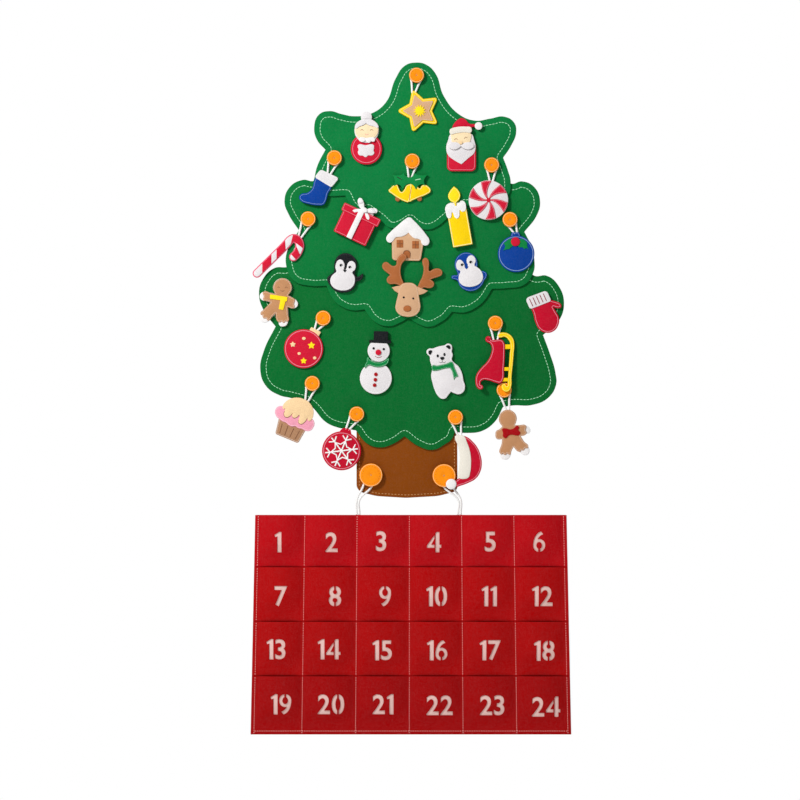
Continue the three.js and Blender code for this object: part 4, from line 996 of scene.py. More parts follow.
def bearded_figure():
    made = Ornament("bearded_figure")
    made.felt("coat", "red", **base(rectangle(-20.2, -37.4, 20.4, 4, 7), hem=2.0))
    made.felt("cap", "red", **whole(0, drawn([
        (-13.5, 18, 0), (-12.2, 25.6), (-8.7, 31), (-3.6, 35.6), (1, 36.8), (6.2, 34.2), (10.6, 29.2),
        (18, 28.4), (22, 27.6), (22, 24.2), (15.5, 24.4), (13, 20), (13, 16, 0)])))
    made.felt("beard", "white", **whole(1, drawn([
        (-15.4, 14), (-18.6, 6), (-21.2, -3.6), (-18.6, -15), (-10, -22.2), (0, -27.8, 0), (9.6, -19.4),
        (18, -11.6), (19.8, -3.6), (17.8, 6), (14.6, 14), (0, 17)])))
    made.felt("face", "skin", **trim(2, drawn([
        (-13.6, 15), (-14, 7), (-11.6, 1), (-4, -0.6), (-0.6, -1.6), (3, -0.6), (10, 1), (13, 7), (12.8, 15),
        (0, 17.4)])))
    made.felt("moustache", "white", **trim(3, drawn([
        (-0.8, -1.2, 0), (-4, 1.6), (-11, 3), (-16, 1.6), (-18.4, -2.6), (-15, -6.2), (-10.2, -7.6),
        (-5, -6), (-0.8, -2.8, 0), (3.6, -6), (9, -7.4), (14.2, -6), (17.4, -2), (15, 1.8), (10, 3),
        (3, 1.6)])))
    made.felt("band", "ivory", **trim(3, drawn([
        (-16, 20.6), (-14.6, 21.8), (-8, 23.8), (-1.6, 24.7), (6, 24.7), (12.6, 24), (13.9, 22.6),
        (14, 17.4), (12.6, 16.2), (6, 16.6), (-1.6, 16.2), (-9, 15), (-14.6, 13.8), (-16.1, 15)])))
    made.felt("bobble", "snow", **whole(1.4, oval(23.9, 25.8, 5.3)))
    made.sewn("moustache_line", "grey", [
        thread([(-18.2, -3), (-15, -6.6), (-10.2, -8), (-5, -6.4), (-0.9, -3.2)], 4.1, 0.3),
        thread([(-0.9, -3.2), (3.6, -6.4), (9, -7.8), (14.2, -6.4), (17.2, -2.6)], 4.1, 0.3)])
    made.sewn("eyes", "brown", [thread([(-10, 6), (-7.8, 7.9), (-5.6, 6.8)], 5.05, 0.3),
                                thread([(3.8, 8), (5.9, 10), (8.1, 9)], 5.05, 0.3)])
    made.felt("nose", "cream", **trim(4, oval(-0.8, 1.8, 2.6, 1.9)))


def stocking():
    made = Ornament("stocking")
    made.felt("foot", "blue", **base(drawn([
        (-6, 14, 0), (-8.4, 8), (-10.6, -0.4), (-16.6, -6.8), (-26, -9), (-29.1, -13.4), (-26.2, -18.9),
        (-16.6, -22.6), (-2.1, -24.8), (5.4, -23.6), (9.4, -16.5), (11.4, -8.7), (16, 1), (8, 16, 0)])))
    made.felt("cuff", "white", **whole(1, corners([
        (-7.6, 14.5, 3), (1.3, 25.5, 4), (27, 13.1, 3), (16.2, 0, 3)]), hem=1.4))


def bells():
    made = Ornament("bells")
    made.felt("clappers", "antler", **base(oval(-16.5, -13, 3.4), oval(14, -12.8, 3.4), hem=0))
    made.felt("left_bell", "yellow", **whole(0.9, drawn([
        (3, 8, 0), (-4, 6), (-7.4, 0), (-11, -3.4), (-15, 2), (-17.6, 6.8), (-21.6, 6.2), (-27, 1.4),
        (-29.2, -1), (-24, -6.4), (-15.4, -12.2), (-6, -16.8), (-1.6, -17.4), (2, -12, 0)]),
        hem=1.0, line=0.9))
    made.felt("right_bell", "yellow", **whole(1.1, drawn([
        (1, 9, 0), (6, 8.6), (10.8, 5), (14.4, 1.6), (17, 5.2), (22, 6.4), (26, 4.4), (29.6, -1.8),
        (24, -6.8), (14, -10.8), (5, -14.6), (-0.8, -16.6), (-1, -10), (1, -2)]), hem=1.0, line=0.9))
    made.sewn("fold", "rust", [thread([(-0.2, -15.6), (-0.3, -10), (1.4, -3), (2.4, 4)], 4.3, 0.35)])
    made.felt("holly", "leaf", **whole(2, drawn([
        (-24, 20.5, 0), (-18, 19.6), (-13, 20, 0), (-10, 21.4), (-8, 23, 0), (-5, 19), (0, 17), (5, 19),
        (8, 23, 0), (10, 21.2), (14, 20, 0), (19, 19.6), (25, 20.5, 0), (21.6, 16), (20.4, 12), (22, 5, 0),
        (17, 7.4), (13, 6, 0), (11, 3.6), (9, 0, 0), (5, 6), (0, 8), (-5, 6), (-9, 0, 0), (-11.4, 4),
        (-13, 6, 0), (-17, 7), (-22, 5, 0), (-20.4, 10), (-21, 15)])))
    made.sewn("veins", "black", [thread([(-17.5, 17.5), (-13.5, 15.4), (-11, 13.6)], 5, 0.5)])
    made.sewn("glints", "mint", [thread([(8, 13), (12, 14), (15.4, 14.6)], 5, 0.6)])


def peppermint():
    made = Ornament("peppermint")
    made.felt("disc", "white", **base(oval(0, 0, 27.6, around=72), hem=0, edge=0.7))
    blades = []
    hub, rim = 2.2, 27.1
    for blade in range(6):
        at_rim = math.radians(97 + 60 * blade)
        edges = []
        for side in (-1, 1):
            edge = []
            for share in (0, 0.2, 0.4, 0.6, 0.8, 1):
                reach = hub + (rim - hub) * share
                half = math.radians(12 + 3.6 * share)
                angle = at_rim + math.radians(27) * (1 - share) ** 1.2 + side * half
                sharp = (0,) if share in (0, 1) else ()
                edge.append((reach * math.cos(angle), reach * math.sin(angle), *sharp))
            edges.append(edge)
        tip = [(rim * math.cos(at_rim + math.radians(shift)), rim * math.sin(at_rim + math.radians(shift)))
               for shift in (-8, 0, 8)]
        blades.append(drawn(edges[0] + tip + edges[1][::-1]))
    made.felt("blades", "red", **trim(0.8, *blades, edge=0.3, hem=1.1, line=0.5))
    made.felt("middle", "red", **trim(0.8, oval(0, 0, 3, around=20), edge=0.3))


def gift():
    made = Ornament("gift")
    made.felt("box", "red", **base(rectangle(-24.7, -31.3, 24.7, 3, 1.2)))
    made.felt("lid", "red", **whole(1, rectangle(-27.8, 0, 28.4, 11.6, 1.8), hem=1.5))
    made.felt("ribbon", "snow", **trim(2, rectangle(-5, -31, 2.8, 11.4, 0.4)))
    made.felt("bow", "snow", **whole(
        2,
        drawn([(0.4, 13, 0), (-1.4, 19.6), (-5.8, 25), (-10.8, 26.6), (-12.8, 23.2), (-9.6, 17.4),
               (-4.6, 13.6)]),
        drawn([(2.6, 13, 0), (5.6, 17.6), (11, 21), (16.8, 22.2), (19, 18.8), (14.8, 15.2), (8.6, 13)])))
    made.felt("bow_tails", "snow", **trim(
        1.5,
        drawn([(1, 13.4, 0), (-4.4, 12.6), (-10.4, 9.2), (-13.2, 6, 0), (-9.6, 4.6, 0), (-4.6, 8.2)]),
        drawn([(2, 13.4, 0), (8, 11.2), (13, 6.4), (12.8, 3.4, 0), (9.2, 4.2, 0), (5, 8.8)])))
    made.felt("bow_folds", "white", **trim(
        2.9, oval(-7.6, 21.6, 1.7, 3.9, 36), oval(12.8, 18.6, 1.5, 4.4, -68), edge=0.3))
    made.felt("knot", "snow", **whole(3.4, oval(1.4, 13.6, 4.2, 3.6)))


def candle():
    made = Ornament("candle")
    made.felt("body", "yellow", **base(rectangle(-14, -23, 13.6, 28, 0.8), hem=1.1, line=1.2))
    made.felt("flame", "sun", **base(drawn([
        (1.8, 61, 0), (6.8, 54.6), (8.4, 48), (5.6, 41.6), (0.8, 37.6), (0.6, 33, 0), (-1.6, 33, 0),
        (-1.8, 37.6), (-6.6, 42), (-8.6, 48.6), (-5.4, 54.8)]), hem=1.2, line=0.5))
    made.felt("wax", "snow", **whole(1, drawn([
        (-15.8, 26), (-15.2, 34), (-10, 38.6), (-4, 37), (0.4, 33.4), (4.6, 37), (9.4, 39.4), (13, 36.4),
        (13.6, 30.6), (12.2, 25.8), (9.6, 24), (6.4, 24.4), (4.4, 27), (3.2, 24), (2, 18.6), (-1.6, 16),
        (-4.6, 18.4), (-5.6, 23), (-7, 25.6), (-8.4, 22), (-10.6, 18.2), (-14, 18.8)]), hem=1.0, line=0.4))


def house():
    made = Ornament("house")
    made.felt("walls", "tan", **base(corners([
        (-22.2, -21.8, 5), (17.6, -22.3, 4), (21.6, 2, 0), (21.6, 10, 0), (1.4, 26, 0), (-22.6, 10, 0)])))
    made.felt("roof", "snow", **whole(1, drawn([
        (2.1, 38.4), (8, 34), (17, 24.6), (26, 13.4), (29.8, 7), (28.6, 1), (24, -1), (19.6, 1), (17.4, 6.6),
        (14, 8.4), (9, 9.2), (4.6, 12.4), (0.7, 17, 0), (-4, 13.6), (-10, 11.4), (-17.4, 10.2), (-20.6, 6),
        (-25.2, 3), (-29.6, 5.6), (-30, 11), (-24, 18.4), (-14, 27.4), (-5, 35)])))
    windows = ((-16, -3.7, -6.7, 6.9), (5.8, -5.1, 15.2, 5.4))
    made.felt("windows", "antler", **trim(0.35, *[rectangle(*window) for window in windows], edge=0.2))
    made.felt("door", "antler", **trim(0.35, corners([
        (-6.4, -18.2, 0.6), (3, -18.2, 0.6), (3, -8.2, 4.6), (-6.4, -8.2, 4.6)]), edge=0.2))
    bars = []
    for x1, z1, x2, z2 in windows:
        x, z = (x1 + x2) / 2, (z1 + z2) / 2
        bars.append(thread([(x, z1 + 0.4), (x, z2 - 0.4)], 3.4, 0.32))
        bars.append(thread([(x1 + 0.4, z), (x2 - 0.4, z)], 3.4, 0.32))
    bars.append(thread([
        (-6.2, -17.6), (-6.1, -10.4), (-4.4, -8.4), (-1.7, -7.9), (1, -8.4), (2.7, -10.4), (2.8, -17.6)],
        3.4, 0.35))
    made.sewn("frames", "brown", bars)


def reindeer():
    made = Ornament("reindeer")
    made.felt("antlers", "antler", **base(
        drawn([(-4.5, 18), (-6.3, 24), (-9.8, 33.6), (-10.1, 44.8), (-7.9, 51.4), (-4, 55.8), (-1.8, 60),
               (-5.4, 64), (-11.2, 62), (-15.6, 55.6), (-17, 48.6), (-21, 47.4), (-25.4, 49.8),
               (-28.6, 52.4), (-32.6, 52.6), (-35.6, 49.6), (-36, 46), (-34.2, 42.4), (-29.4, 38.2),
               (-25, 34.8, 0), (-28.6, 31.4), (-29.8, 27.6), (-28.2, 23.8), (-24.6, 22), (-18.2, 22.2),
               (-12, 20), (-9, 17)]),
        drawn([(14, 17), (15.2, 22.4), (20.1, 33.1), (21.7, 44.8), (20.2, 51), (20.6, 56.4), (24.2, 58.7),
               (28, 56.4), (29.4, 50.6), (29, 44), (30, 40.4), (34, 42.2), (40, 44), (45.6, 42.6),
               (48, 38.8), (46.8, 34.6), (42, 32.2), (36, 30.2), (31.6, 28.4, 0), (35.4, 25.4),
               (36.4, 21.4), (34, 17.6), (29, 16.4), (22, 17.2), (17, 15)]), hem=1.3, line=0.4))
    made.felt("ears", "tan", **whole(
        0.8,
        drawn([(-8, 20, 0), (-15, 19.4), (-22.6, 17.4, 0), (-18, 12.2), (-11, 8.4, 0)]),
        drawn([(9, 20, 0), (18, 16.6), (27.8, 12.6, 0), (22, 8.8), (13, 6.5, 0)])))
    made.felt("face", "tan", **whole(1, drawn([
        (0, 24), (8, 22.6), (13, 17.6), (14.8, 8), (16.4, -2), (17.2, -11), (13.4, -19), (6, -23),
        (-3, -23.4), (-12, -20.4), (-17.4, -12.6), (-16.4, -3), (-14, 7), (-12.6, 17),
        (-7.6, 22.6)]), hem=1.6, line=0.4))
    made.felt("nose", "antler", **trim(2, oval(-1, -12.2, 5.3, 4.1)))
    made.sewn("nose_line", "brown", [thread([(-1 + 5.3 * math.cos(a), -12.2 + 4.1 * math.sin(a))
                                             for a in (i * math.pi / 8 for i in range(16))], 4.3, 0.3,
                                            closed=True)])
    made.felt("eyes", "black", **trim(1.7, oval(-6.1, 3.6, 1.4, around=16), oval(7.3, 2.1, 1.4, around=16),
                                      edge=0.3))


def penguin_face(made, colour, beak, spots):
    made.felt("beak", colour, **trim(1.5, corners(beak), edge=0.3))
    shapes = []
    for x, z in spots:
        shapes.append(oval(x - 0.3, z, 1.5, 1.7, around=16))
    made.felt("eyes", "black", **trim(1.7, *shapes, edge=0.3))
    made.sewn("lashes", "black", [thread([(x - 1.4, z + 0.6), (x + 1, z + 1.6), (x + 2.4, z - 0.6)], 4.1, 0.4)
                                  for x, z in spots])


def black_penguin():
    made = Ornament("black_penguin")
    made.felt("body", "black", **base(drawn([
        (2.4, 34.4), (10, 32.4), (16, 26.4), (18.2, 18), (16.4, 10.4), (15.4, 5), (19, 1.6), (24, 4.4),
        (27, 6.4, 0), (26, -0.6), (22.4, -4), (17.8, -5.6), (15.8, -11.6), (10, -18), (-1, -20.6),
        (-12, -18), (-18.8, -11.6), (-22.6, -5.4), (-23.2, 0), (-19, 4.2), (-14.4, 7.6), (-13.4, 12.4),
        (-13.6, 18.6), (-11, 26.8), (-5, 32.6)]), hem=1.3, line=0.35))
    made.felt("front", "white", **trim(1, drawn([
        (1.5, 10.4, 0), (3.8, 13.6), (5, 19), (9, 23.2), (13.6, 22.4), (16.4, 17.4), (15.6, 11.6), (12, 7.4),
        (14.8, 2), (15.4, -4.6), (12.6, -12), (6.6, -16.4), (-1.6, -17.8), (-10.6, -16), (-16.8, -11.2),
        (-19, -4.8), (-17.8, 1), (-14.2, 5.4), (-10.6, 8.6), (-11.8, 13.4), (-11, 19.6), (-7.8, 24.6),
        (-3.4, 25.2), (0, 21.4), (1, 16.4), (0.2, 12.4)]), hem=1.6, line=0.4))
    penguin_face(made, "black", [(-1.8, 11.4, 0.5), (4.4, 11, 0.5), (1.3, 7.2, 0.8)],
                 [(-4.3, 17.4), (8, 14.8)])


def blue_penguin():
    made = Ornament("blue_penguin")
    made.felt("body", "blue", **base(drawn([
        (-5.5, 34), (3, 31.6), (8.8, 25.8), (10.6, 18), (10.6, 12), (14, 8.4), (19.4, 7.8), (23.4, 4.6),
        (23, -1), (20, -5.4), (17.4, -11), (11.4, -17), (2, -20.2), (-8, -18.2), (-14.6, -12.4),
        (-17.6, -5.6), (-21, -4), (-25.4, -2.6), (-25.6, 0.8), (-22, 2.2), (-17.6, 2.6), (-18.4, 7),
        (-20.6, 12), (-21.4, 18), (-19.4, 25.4), (-13.4, 31.6)]), hem=1.3, line=0.45))
    made.felt("front", "white", **trim(1, drawn([
        (-4.6, 12.6, 0), (-3, 15.6), (-4.6, 20.4), (-3.4, 26.6), (1.2, 29.8), (6, 27.6), (8, 21.8),
        (6.6, 15.6), (9.4, 13.6), (14.8, 9), (18, 2), (17.4, -4.6), (12.6, -10.4), (5, -13.6),
        (-3.4, -14.2), (-11.6, -11.2), (-15.6, -4.8), (-15.4, 2), (-13.6, 7.6), (-17, 9.6), (-19.2, 14.2),
        (-18.6, 20), (-15.2, 23.6), (-11, 22), (-8, 17.4), (-6.8, 13.6)]), hem=1.6, line=0.4))
    penguin_face(made, "blue", [(-8, 13.6, 0.5), (-1.6, 14.6, 0.5), (-4.8, 9.8, 0.8)],
                 [(-11.2, 16.4), (0.8, 20.2)])


def gingerbread(name, outline, biscuit):
    """A white base shows at the hands and feet and all round, and the biscuit felt lies on it."""
    made = Ornament(name)
    made.felt("icing", "snow", **base(drawn(outline), hem=0, edge=0.7))
    wider = corners([(x, z, 0) for x, z in line_inside(outline_of(drawn(biscuit)), -0.9)])
    made.felt("biscuit", "biscuit", **trim(1, wider, edge=0.35, hem=1.3, line=0.35))
    return made


def gingerbread_scarf():
    made = gingerbread("gingerbread_scarf", [
        (-1, 8.2, 0), (-4.9, 14), (-4.6, 21.4), (0.6, 28), (8, 30.4), (15.4, 28), (20.4, 21.4),
        (20.5, 13.6), (15.6, 6.6, 0), (22, 3), (27.6, -1), (29.6, -6), (27, -10.6), (21.5, -12),
        (15.2, -9.8, 0), (16, -20), (15.9, -29.6), (13.3, -35.3), (9, -37.2), (4.4, -36.4), (1.8, -29),
        (-1.6, -19.4, 0), (-6.8, -24), (-12.6, -30.6), (-18.6, -31.6), (-23.2, -28), (-23.8, -22.4),
        (-18.6, -15.2), (-12.6, -8.6), (-8.2, -4, 0), (-14.4, -1.6), (-20.6, -0.4), (-24, 4.6),
        (-21.6, 9.8), (-16.6, 11.4), (-8, 9.8)], [ (-0.4, 7, 0), (-3.8, 14), (-3.5, 21), (1.4, 27),
        (8, 29.3), (14.8, 27), (19.3, 21), (19.3, 14), (14.4, 6, 0), (20, 2.8), (24.2, 0.4), (23, -5),
        (23.4, -10.6), (20, -10.6), (14, -8.6, 0), (14.6, -20), (14.6, -29.6), (12.2, -28.4), (9.6, -31),
        (6.4, -29), (3.4, -30.6), (-1.4, -16.8, 0), (-7, -22.6), (-12, -28), (-14.4, -25), (-18.4, -24.6),
        (-19.4, -20.6), (-22, -19.6), (-17.4, -14), (-11.4, -7.6), (-7, -2.8, 0), (-13.6, -0.6), (-18, 0.4),
        (-17.4, 5), (-18.6, 10.2), (-8, 8.6)])
    made.felt("scarf", "sun", **trim(2, corners([
        (-9.4, 7.6, 0.8), (15, 4, 0.8), (14.2, -1.8, 0.8), (12, -2.6, 0.4), (9, -14.4, 0.8), (2.6, -13, 0.8),
        (5, -0.6, 0.4), (-9.6, 1.4, 0.8)])))
    made.sewn("face", "brown", [thread(line, 4.05, 0.25) for line in (
        [(0.6, 17), (2.4, 18), (4.2, 17)],
        [(11.4, 17), (13.2, 18), (15, 17)],
        [(5, 13.2), (7.8, 12), (10.6, 13.2)])])


def gingerbread_bow():
    made = gingerbread("gingerbread_bow", [
        (-12, 8.6, 0), (-16.4, 14), (-17, 21.4), (-12.8, 28.4), (-4.8, 31.4), (3.2, 28.6), (7.6, 22),
        (7.4, 14.6), (4.6, 9.4, 0), (12, 10), (20, 9.6), (26.4, 4.6), (25.8, -1), (20, -3), (13.4, -5, 0),
        (18, -12.7), (24.4, -21), (25.8, -27.4), (20.6, -32.6), (13.4, -29.2), (7.4, -23.8),
        (3.3, -21.2, 0), (0.6, -27), (-1.2, -34.4), (-7.4, -38.8), (-14, -35.4), (-15.4, -27), (-13.4, -16),
        (-12.6, -9.8, 0), (-17, -10.6), (-21, -9.4), (-22.2, -4), (-20.8, 1.6),
        (-16.4, 4)], [ (-11, 7.8, 0), (-15.4, 14), (-15.8, 21), (-12, 27.4), (-4.8, 30.2), (2.4, 27.6),
        (6.4, 21.6), (6.2, 14.6), (3.8, 8.4, 0), (12, 8.8), (20, 8.4), (19, 3), (20.6, -1.8),
        (11.6, -5.2, 0), (16.6, -13), (23, -21.2), (19.4, -21.4), (16.6, -24.6), (13.4, -24.2),
        (12.2, -26.6), (3.3, -19.2, 0), (-0.8, -27), (-2, -30.6), (-5.6, -28.8), (-8.4, -31), (-11.4, -29),
        (-14, -30.2), (-12.2, -16), (-11.2, -8.6, 0), (-17, -9.4), (-20, -8), (-21, -3.8), (-19.8, 1),
        (-16.2, 2.8)])
    made.felt("bow", "dark_red", **trim(2, drawn([
        (-12.2, 4.2), (-11.4, -1.3), (-11.2, -6.4), (-7.8, -8.6), (-3, -4.6), (2, -3.8), (7, -4.8),
        (11.4, -4), (12.6, 0), (10, 3), (11.2, 6.8), (8, 8.8), (4, 5.4), (-1.5, 3.6), (-7.4, 5.2)])))


def red_ball():
    made = Ornament("red_ball")
    made.felt("cap", "cream", **base(corners([
        (6, 22, 0), (10.6, 30.6, 1), (24.4, 23.4, 1), (19.6, 15, 0)]), hem=0))
    made.felt("ball", "red", **whole(0.3, oval(0, 0, 27.3, around=72), hem=2.0, line=0.9))
    made.felt("stars", "sun", **trim(1, star_shape(11, 4.6, 5, 5.6, 3, 90, 0.4),
                                     star_shape(0.1, -17, 5, 4.8, 2.7, 90, 0.4), edge=0.3))
    made.felt("small_star", "cream", **trim(1, star_shape(-15, 6, 5, 4.4, 2.6, 90, 0.4), edge=0.3))
    made.felt("dots", "cream", **trim(1, oval(0.4, 14.4, 2.6, 2.1), oval(-6.2, -6.7, 2.3, 2),
                                      oval(15.5, -12.9, 2.4, 2.1), edge=0.3))


def blue_ball():
    made = Ornament("blue_ball")
    made.felt("neck", "blue", **base(corners([
        (-8.5, 20, 0), (-6.5, 30.2, 2), (4.5, 30.2, 2), (7, 20, 0)]), hem=1.4))
    made.felt("ball", "blue", **whole(0.3, oval(0, 0, 25.6, around=72), hem=2.0, line=0.9))
    made.felt("leaves", "leaf", **trim(1, drawn([
        (-1, 17, 0), (-5, 20.6), (-10.4, 20.2), (-14.4, 16.8), (-17.6, 15, 0), (-15.6, 10), (-18, 4.6, 0),
        (-13.4, 6), (-9.6, 6.4, 0), (-6.6, 9.4), (-4.6, 11, 0), (0.4, 11.6), (4.4, 8.8, 0), (8.6, 8.8),
        (12, 6.4, 0), (13.8, 8), (17.4, 5.8, 0), (15.4, 11), (15.6, 15.4, 0), (12.4, 18.4), (8, 20.8),
        (3.4, 20)])))
    made.felt("berry", "red", **trim(2.3, oval(-1, 16.8, 6.3), edge=0.8))


CANE_LINE = [(-32, -33), (-20, -21.2), (-8, -9.4), (4, 2.4), (10.2, 9.2), (14.4, 13.8), (19.4, 16),
             (24.4, 14), (27.3, 9), (27.6, 4), (25.6, -2), (22.6, -6.6), (19, -10)]


def candy_cane():
    made = Ornament("candy_cane")
    route, total = even_line([Vector((x, 0, z)) for x, z in CANE_LINE], 1)
    half = 6.1
    left, right = [], []
    for i, spot in enumerate(route):
        way = (route[min(i + 1, len(route) - 1)] - route[max(i - 1, 0)]).normalized()
        left.append((spot.x - way.z * half, spot.z + way.x * half, 0))
        right.append((spot.x + way.z * half, spot.z - way.x * half, 0))

    def round_end(spot, start, turn):
        angles = [math.radians(turn * step / 7) for step in range(1, 7)]
        dx, dz = start[0] - spot.x, start[1] - spot.z
        return [(spot.x + dx * math.cos(a) - dz * math.sin(a),
                 spot.z + dx * math.sin(a) + dz * math.cos(a), 0) for a in angles]

    outline = left + round_end(route[-1], left[-1], -180) + right[::-1] + round_end(route[0], right[0], -180)
    made.felt("stick", "rose", **base(corners(outline), hem=0))
    inner = corners([(x, z, 0) for x, z in line_inside(outline_of(corners(outline)), 1.5)])
    made.felt("sugar", "white", **trim(0.5, inner, hem=0, edge=0.3))

    def nearer(side):
        return [(spot.x + (x - spot.x) * 0.75, spot.z + (z - spot.z) * 0.75, 0)
                for spot, (x, z, _) in zip(route, side)]

    left, right = nearer(left), nearer(right)
    wide, slant = 18, 9
    stripes = []
    for first in (6, 34, 62, 88):
        upper = left[min(first + slant, len(left) - 2):first + slant + wide + 1]
        lower = right[first:first + wide + 1]
        stripes.append(corners(upper + lower[::-1]))
    made.felt("stripes", "red", **trim(0.8, *stripes, edge=0.3))


def sleigh():
    made = Ornament("sleigh")
    made.felt("runner", "yellow", **base(drawn([
        (3.8, 37.6), (6, 40.2), (11, 41.2), (19, 39.2), (25, 33), (26.8, 25.2), (26, 12), (24.4, -6),
        (22.8, -22), (22.4, -34.3), (19, -41), (13, -41.6), (9, -36.8), (9.6, -32.2), (13.4, -30.8),
        (16.2, -34), (17.4, -28), (19, -9.3), (20.5, 11.1), (21.3, 25.2), (18.4, 31.4), (13, 35.2),
        (8, 34.2), (4.6, 34.6)]), hem=1.1, line=0.35))
    made.felt("struts", "yellow", **base(
        rectangle(8, 18, 22, 24.4, 0.8), rectangle(8, -12.6, 20.5, -7.6, 0.8),
        rectangle(8, -27.6, 20, -22.6, 0.8), hem=0, edge=0.5))
    made.felt("seat", "crimson", **whole(1, drawn([
        (-5, 31, 0), (-2, 30.4), (4, 31.2), (9.6, 30.6), (13, 26), (13.6, 16), (13.4, 6.4), (12.4, -9.3),
        (11, -25.7), (7, -30.2), (0, -29), (-9, -26.2), (-17, -25.7), (-20, -28.4), (-20.4, -32, 0),
        (-17.6, -33.6), (-17.2, -37), (-20.8, -38.8), (-25, -36.4), (-27.6, -28.8), (-26.4, -18.7),
        (-20.2, -9.3), (-10.8, 0.9), (-5.3, 12.7), (-4.6, 20.5), (-7.6, 26), (-12.4, 28.6), (-13.6, 32.4),
        (-10.8, 35.8), (-6.8, 35.2)]), hem=1.7, line=0.7))
    made.felt("curl", "crimson", **trim(2, oval(-9.6, 31.8, 2.6, around=24), edge=0.5))


def mitten():
    made = Ornament("mitten")
    made.felt("hand", "crimson", **base(drawn([
        (-16, 6, 0), (-12.6, -2), (-9.4, -14.8), (-3.4, -25), (6, -29.2), (16, -27), (22.6, -18.6),
        (23.6, -8), (19.6, 0), (15.8, 6.6, 0), (22, 5), (26.6, 6.6), (25.6, 11.6), (20.4, 14.4),
        (11, 17, 0)]),
        hem=2.0, line=0.7))
    made.felt("cuff", "white", **whole(1, corners([
        (-23.8, 19, 5), (6.4, 30.2, 5), (13, 15.2, 3), (-16.8, 3.6, 3)])))
    ribs = []
    for share in (0.16, 0.32, 0.48, 0.64, 0.8):
        top = Vector((-23.8, 19)).lerp(Vector((6.4, 30.2)), share)
        foot = Vector((-16.8, 3.6)).lerp(Vector((13, 15.2)), share)
        ribs.append(thread([top.lerp(foot, 0.16), top.lerp(foot, 0.5), top.lerp(foot, 0.84)], 4.05, 0.55))
    made.sewn("ribs", "maroon", ribs)


def snowman():
    made = Ornament("snowman")
    made.felt("body", "white", **base(oval(-0.2, -18.5, 22.3, around=64), hem=1.8, line=0.5))
    made.felt("head", "white", **whole(0.6, oval(3.8, 19.8, 15.5, around=56), hem=1.6, line=0.4))
    made.felt("hat", "black", **whole(1.2, corners([
        (-9.6, 35, 0.8), (-3.2, 34.9, 0.4), (-3, 47.4, 1), (17.2, 46.8, 1), (16.8, 34.6, 0.4),
        (21, 34.5, 0.8), (20.9, 29.8, 0.8), (-9.7, 31.2, 0.8)])))
    made.felt("scarf", "leaf", **whole(1.4, drawn([
        (-11.4, 11.2), (-8.4, 8), (-3, 5), (3.6, 3.8), (10, 5), (15, 8.4), (17.8, 9.6), (18, 5.6), (15.4, 1),
        (10, -1.8), (3, -3), (-4, -2), (-9.6, -0.4), (-15.2, -4.6, 0), (-15.8, 0), (-13.6, 4)]), hem=1.1,
        line=0.35))
    made.felt("nose", "red", **trim(2.6, oval(3.3, 17.6, 4, around=28), edge=0.9))
    made.felt("eyes", "black", **trim(1.2, oval(-3.3, 23.2, 1.7, around=16), oval(10.9, 22.1, 1.7, around=16),
                                      edge=0.3))
    buttons = [oval(x, z, 2.6, around=24) for x, z in ((-0.1, -13.1), (-0.8, -20.7), (-1.9, -28.3))]
    made.felt("buttons", "dark_red", **trim(1, *buttons, edge=0.4))
    made.sewn("mouth", "maroon", [thread([(-1.4, 12.4), (0.8, 10.9), (3.3, 10.4), (5.8, 10.7), (8, 11.9)],
                                         3.65, 0.35)])


def polar_bear():
    made = Ornament("polar_bear")
    made.felt("body", "white", **base(drawn([
        (-20.6, 14), (-22.4, 20), (-23, 26), (-26.4, 29.2), (-27.2, 33.4), (-23.6, 37), (-18.8, 37),
        (-14.4, 38.6), (-7.5, 40.6), (-2, 41.6), (2.4, 44), (7.4, 42), (8.6, 37), (8, 33), (9.4, 28.2),
        (8.2, 21.3), (11.4, 17.2), (17.6, 11.8), (22.5, 2.1), (24.3, -7.5), (26.6, -16), (24.4, -23.4),
        (18.3, -27), (11.7, -25.6), (6.9, -23.4, 0), (3.3, -28), (-1, -32.8), (-6, -33.2), (-11.6, -29),
        (-16, -20.6), (-18.9, -11.1), (-20.9, -0.3), (-19.6, 7)]), hem=1.8, line=0.5))
    made.felt("scarf", "leaf", **whole(1, drawn([
        (-19, 13.4), (-13, 13), (-7.5, 14), (0.9, 16), (8.1, 18.4), (10.4, 15.8), (12, 10), (14.4, 5),
        (17.2, -2.4, 0), (13.6, -3.2), (11.2, -7.2, 0), (9.8, -0.4), (8.2, 5.4), (5.4, 10, 0), (-2.7, 8.8),
        (-11, 6.4), (-16.5, 5.8), (-19.2, 6.4)]), hem=0.9, line=0.3))
    made.felt("ears", "black", **trim(0.8, drawn([
        (-24.4, 33), (-22.4, 34.4), (-19.4, 33.6), (-20.4, 30.8), (-22.4, 28.4), (-24.4, 30)]), drawn([
            (0, 39.6), (3, 41.6), (6, 39.6), (5.6, 36.4), (3.4, 36.6), (1.6, 38)]), edge=0.25))
    eyes = [oval(x, z, 1.5, 2.1, around=18) for x, z in ((-11.7, 26.7), (-2.3, 28.7))]
    made.felt("eyes", "black", **trim(0.8, *eyes, edge=0.25))
    made.felt("nose", "black", **trim(1, drawn([
        (-8.2, 24.2), (-5.2, 25.2), (-2.6, 24.6), (-3.6, 22), (-5.6, 21.2), (-7.4, 22)]), edge=0.3))
    made.sewn("mouth", "black", [thread(line, 3.05, 0.28) for line in (
        [(-5.6, 21.4), (-5.3, 19.6), (-5.4, 18)],
        [(-9.4, 18.4), (-7.6, 16.9), (-5.4, 18), (-3, 17), (-0.6, 18.8)])])


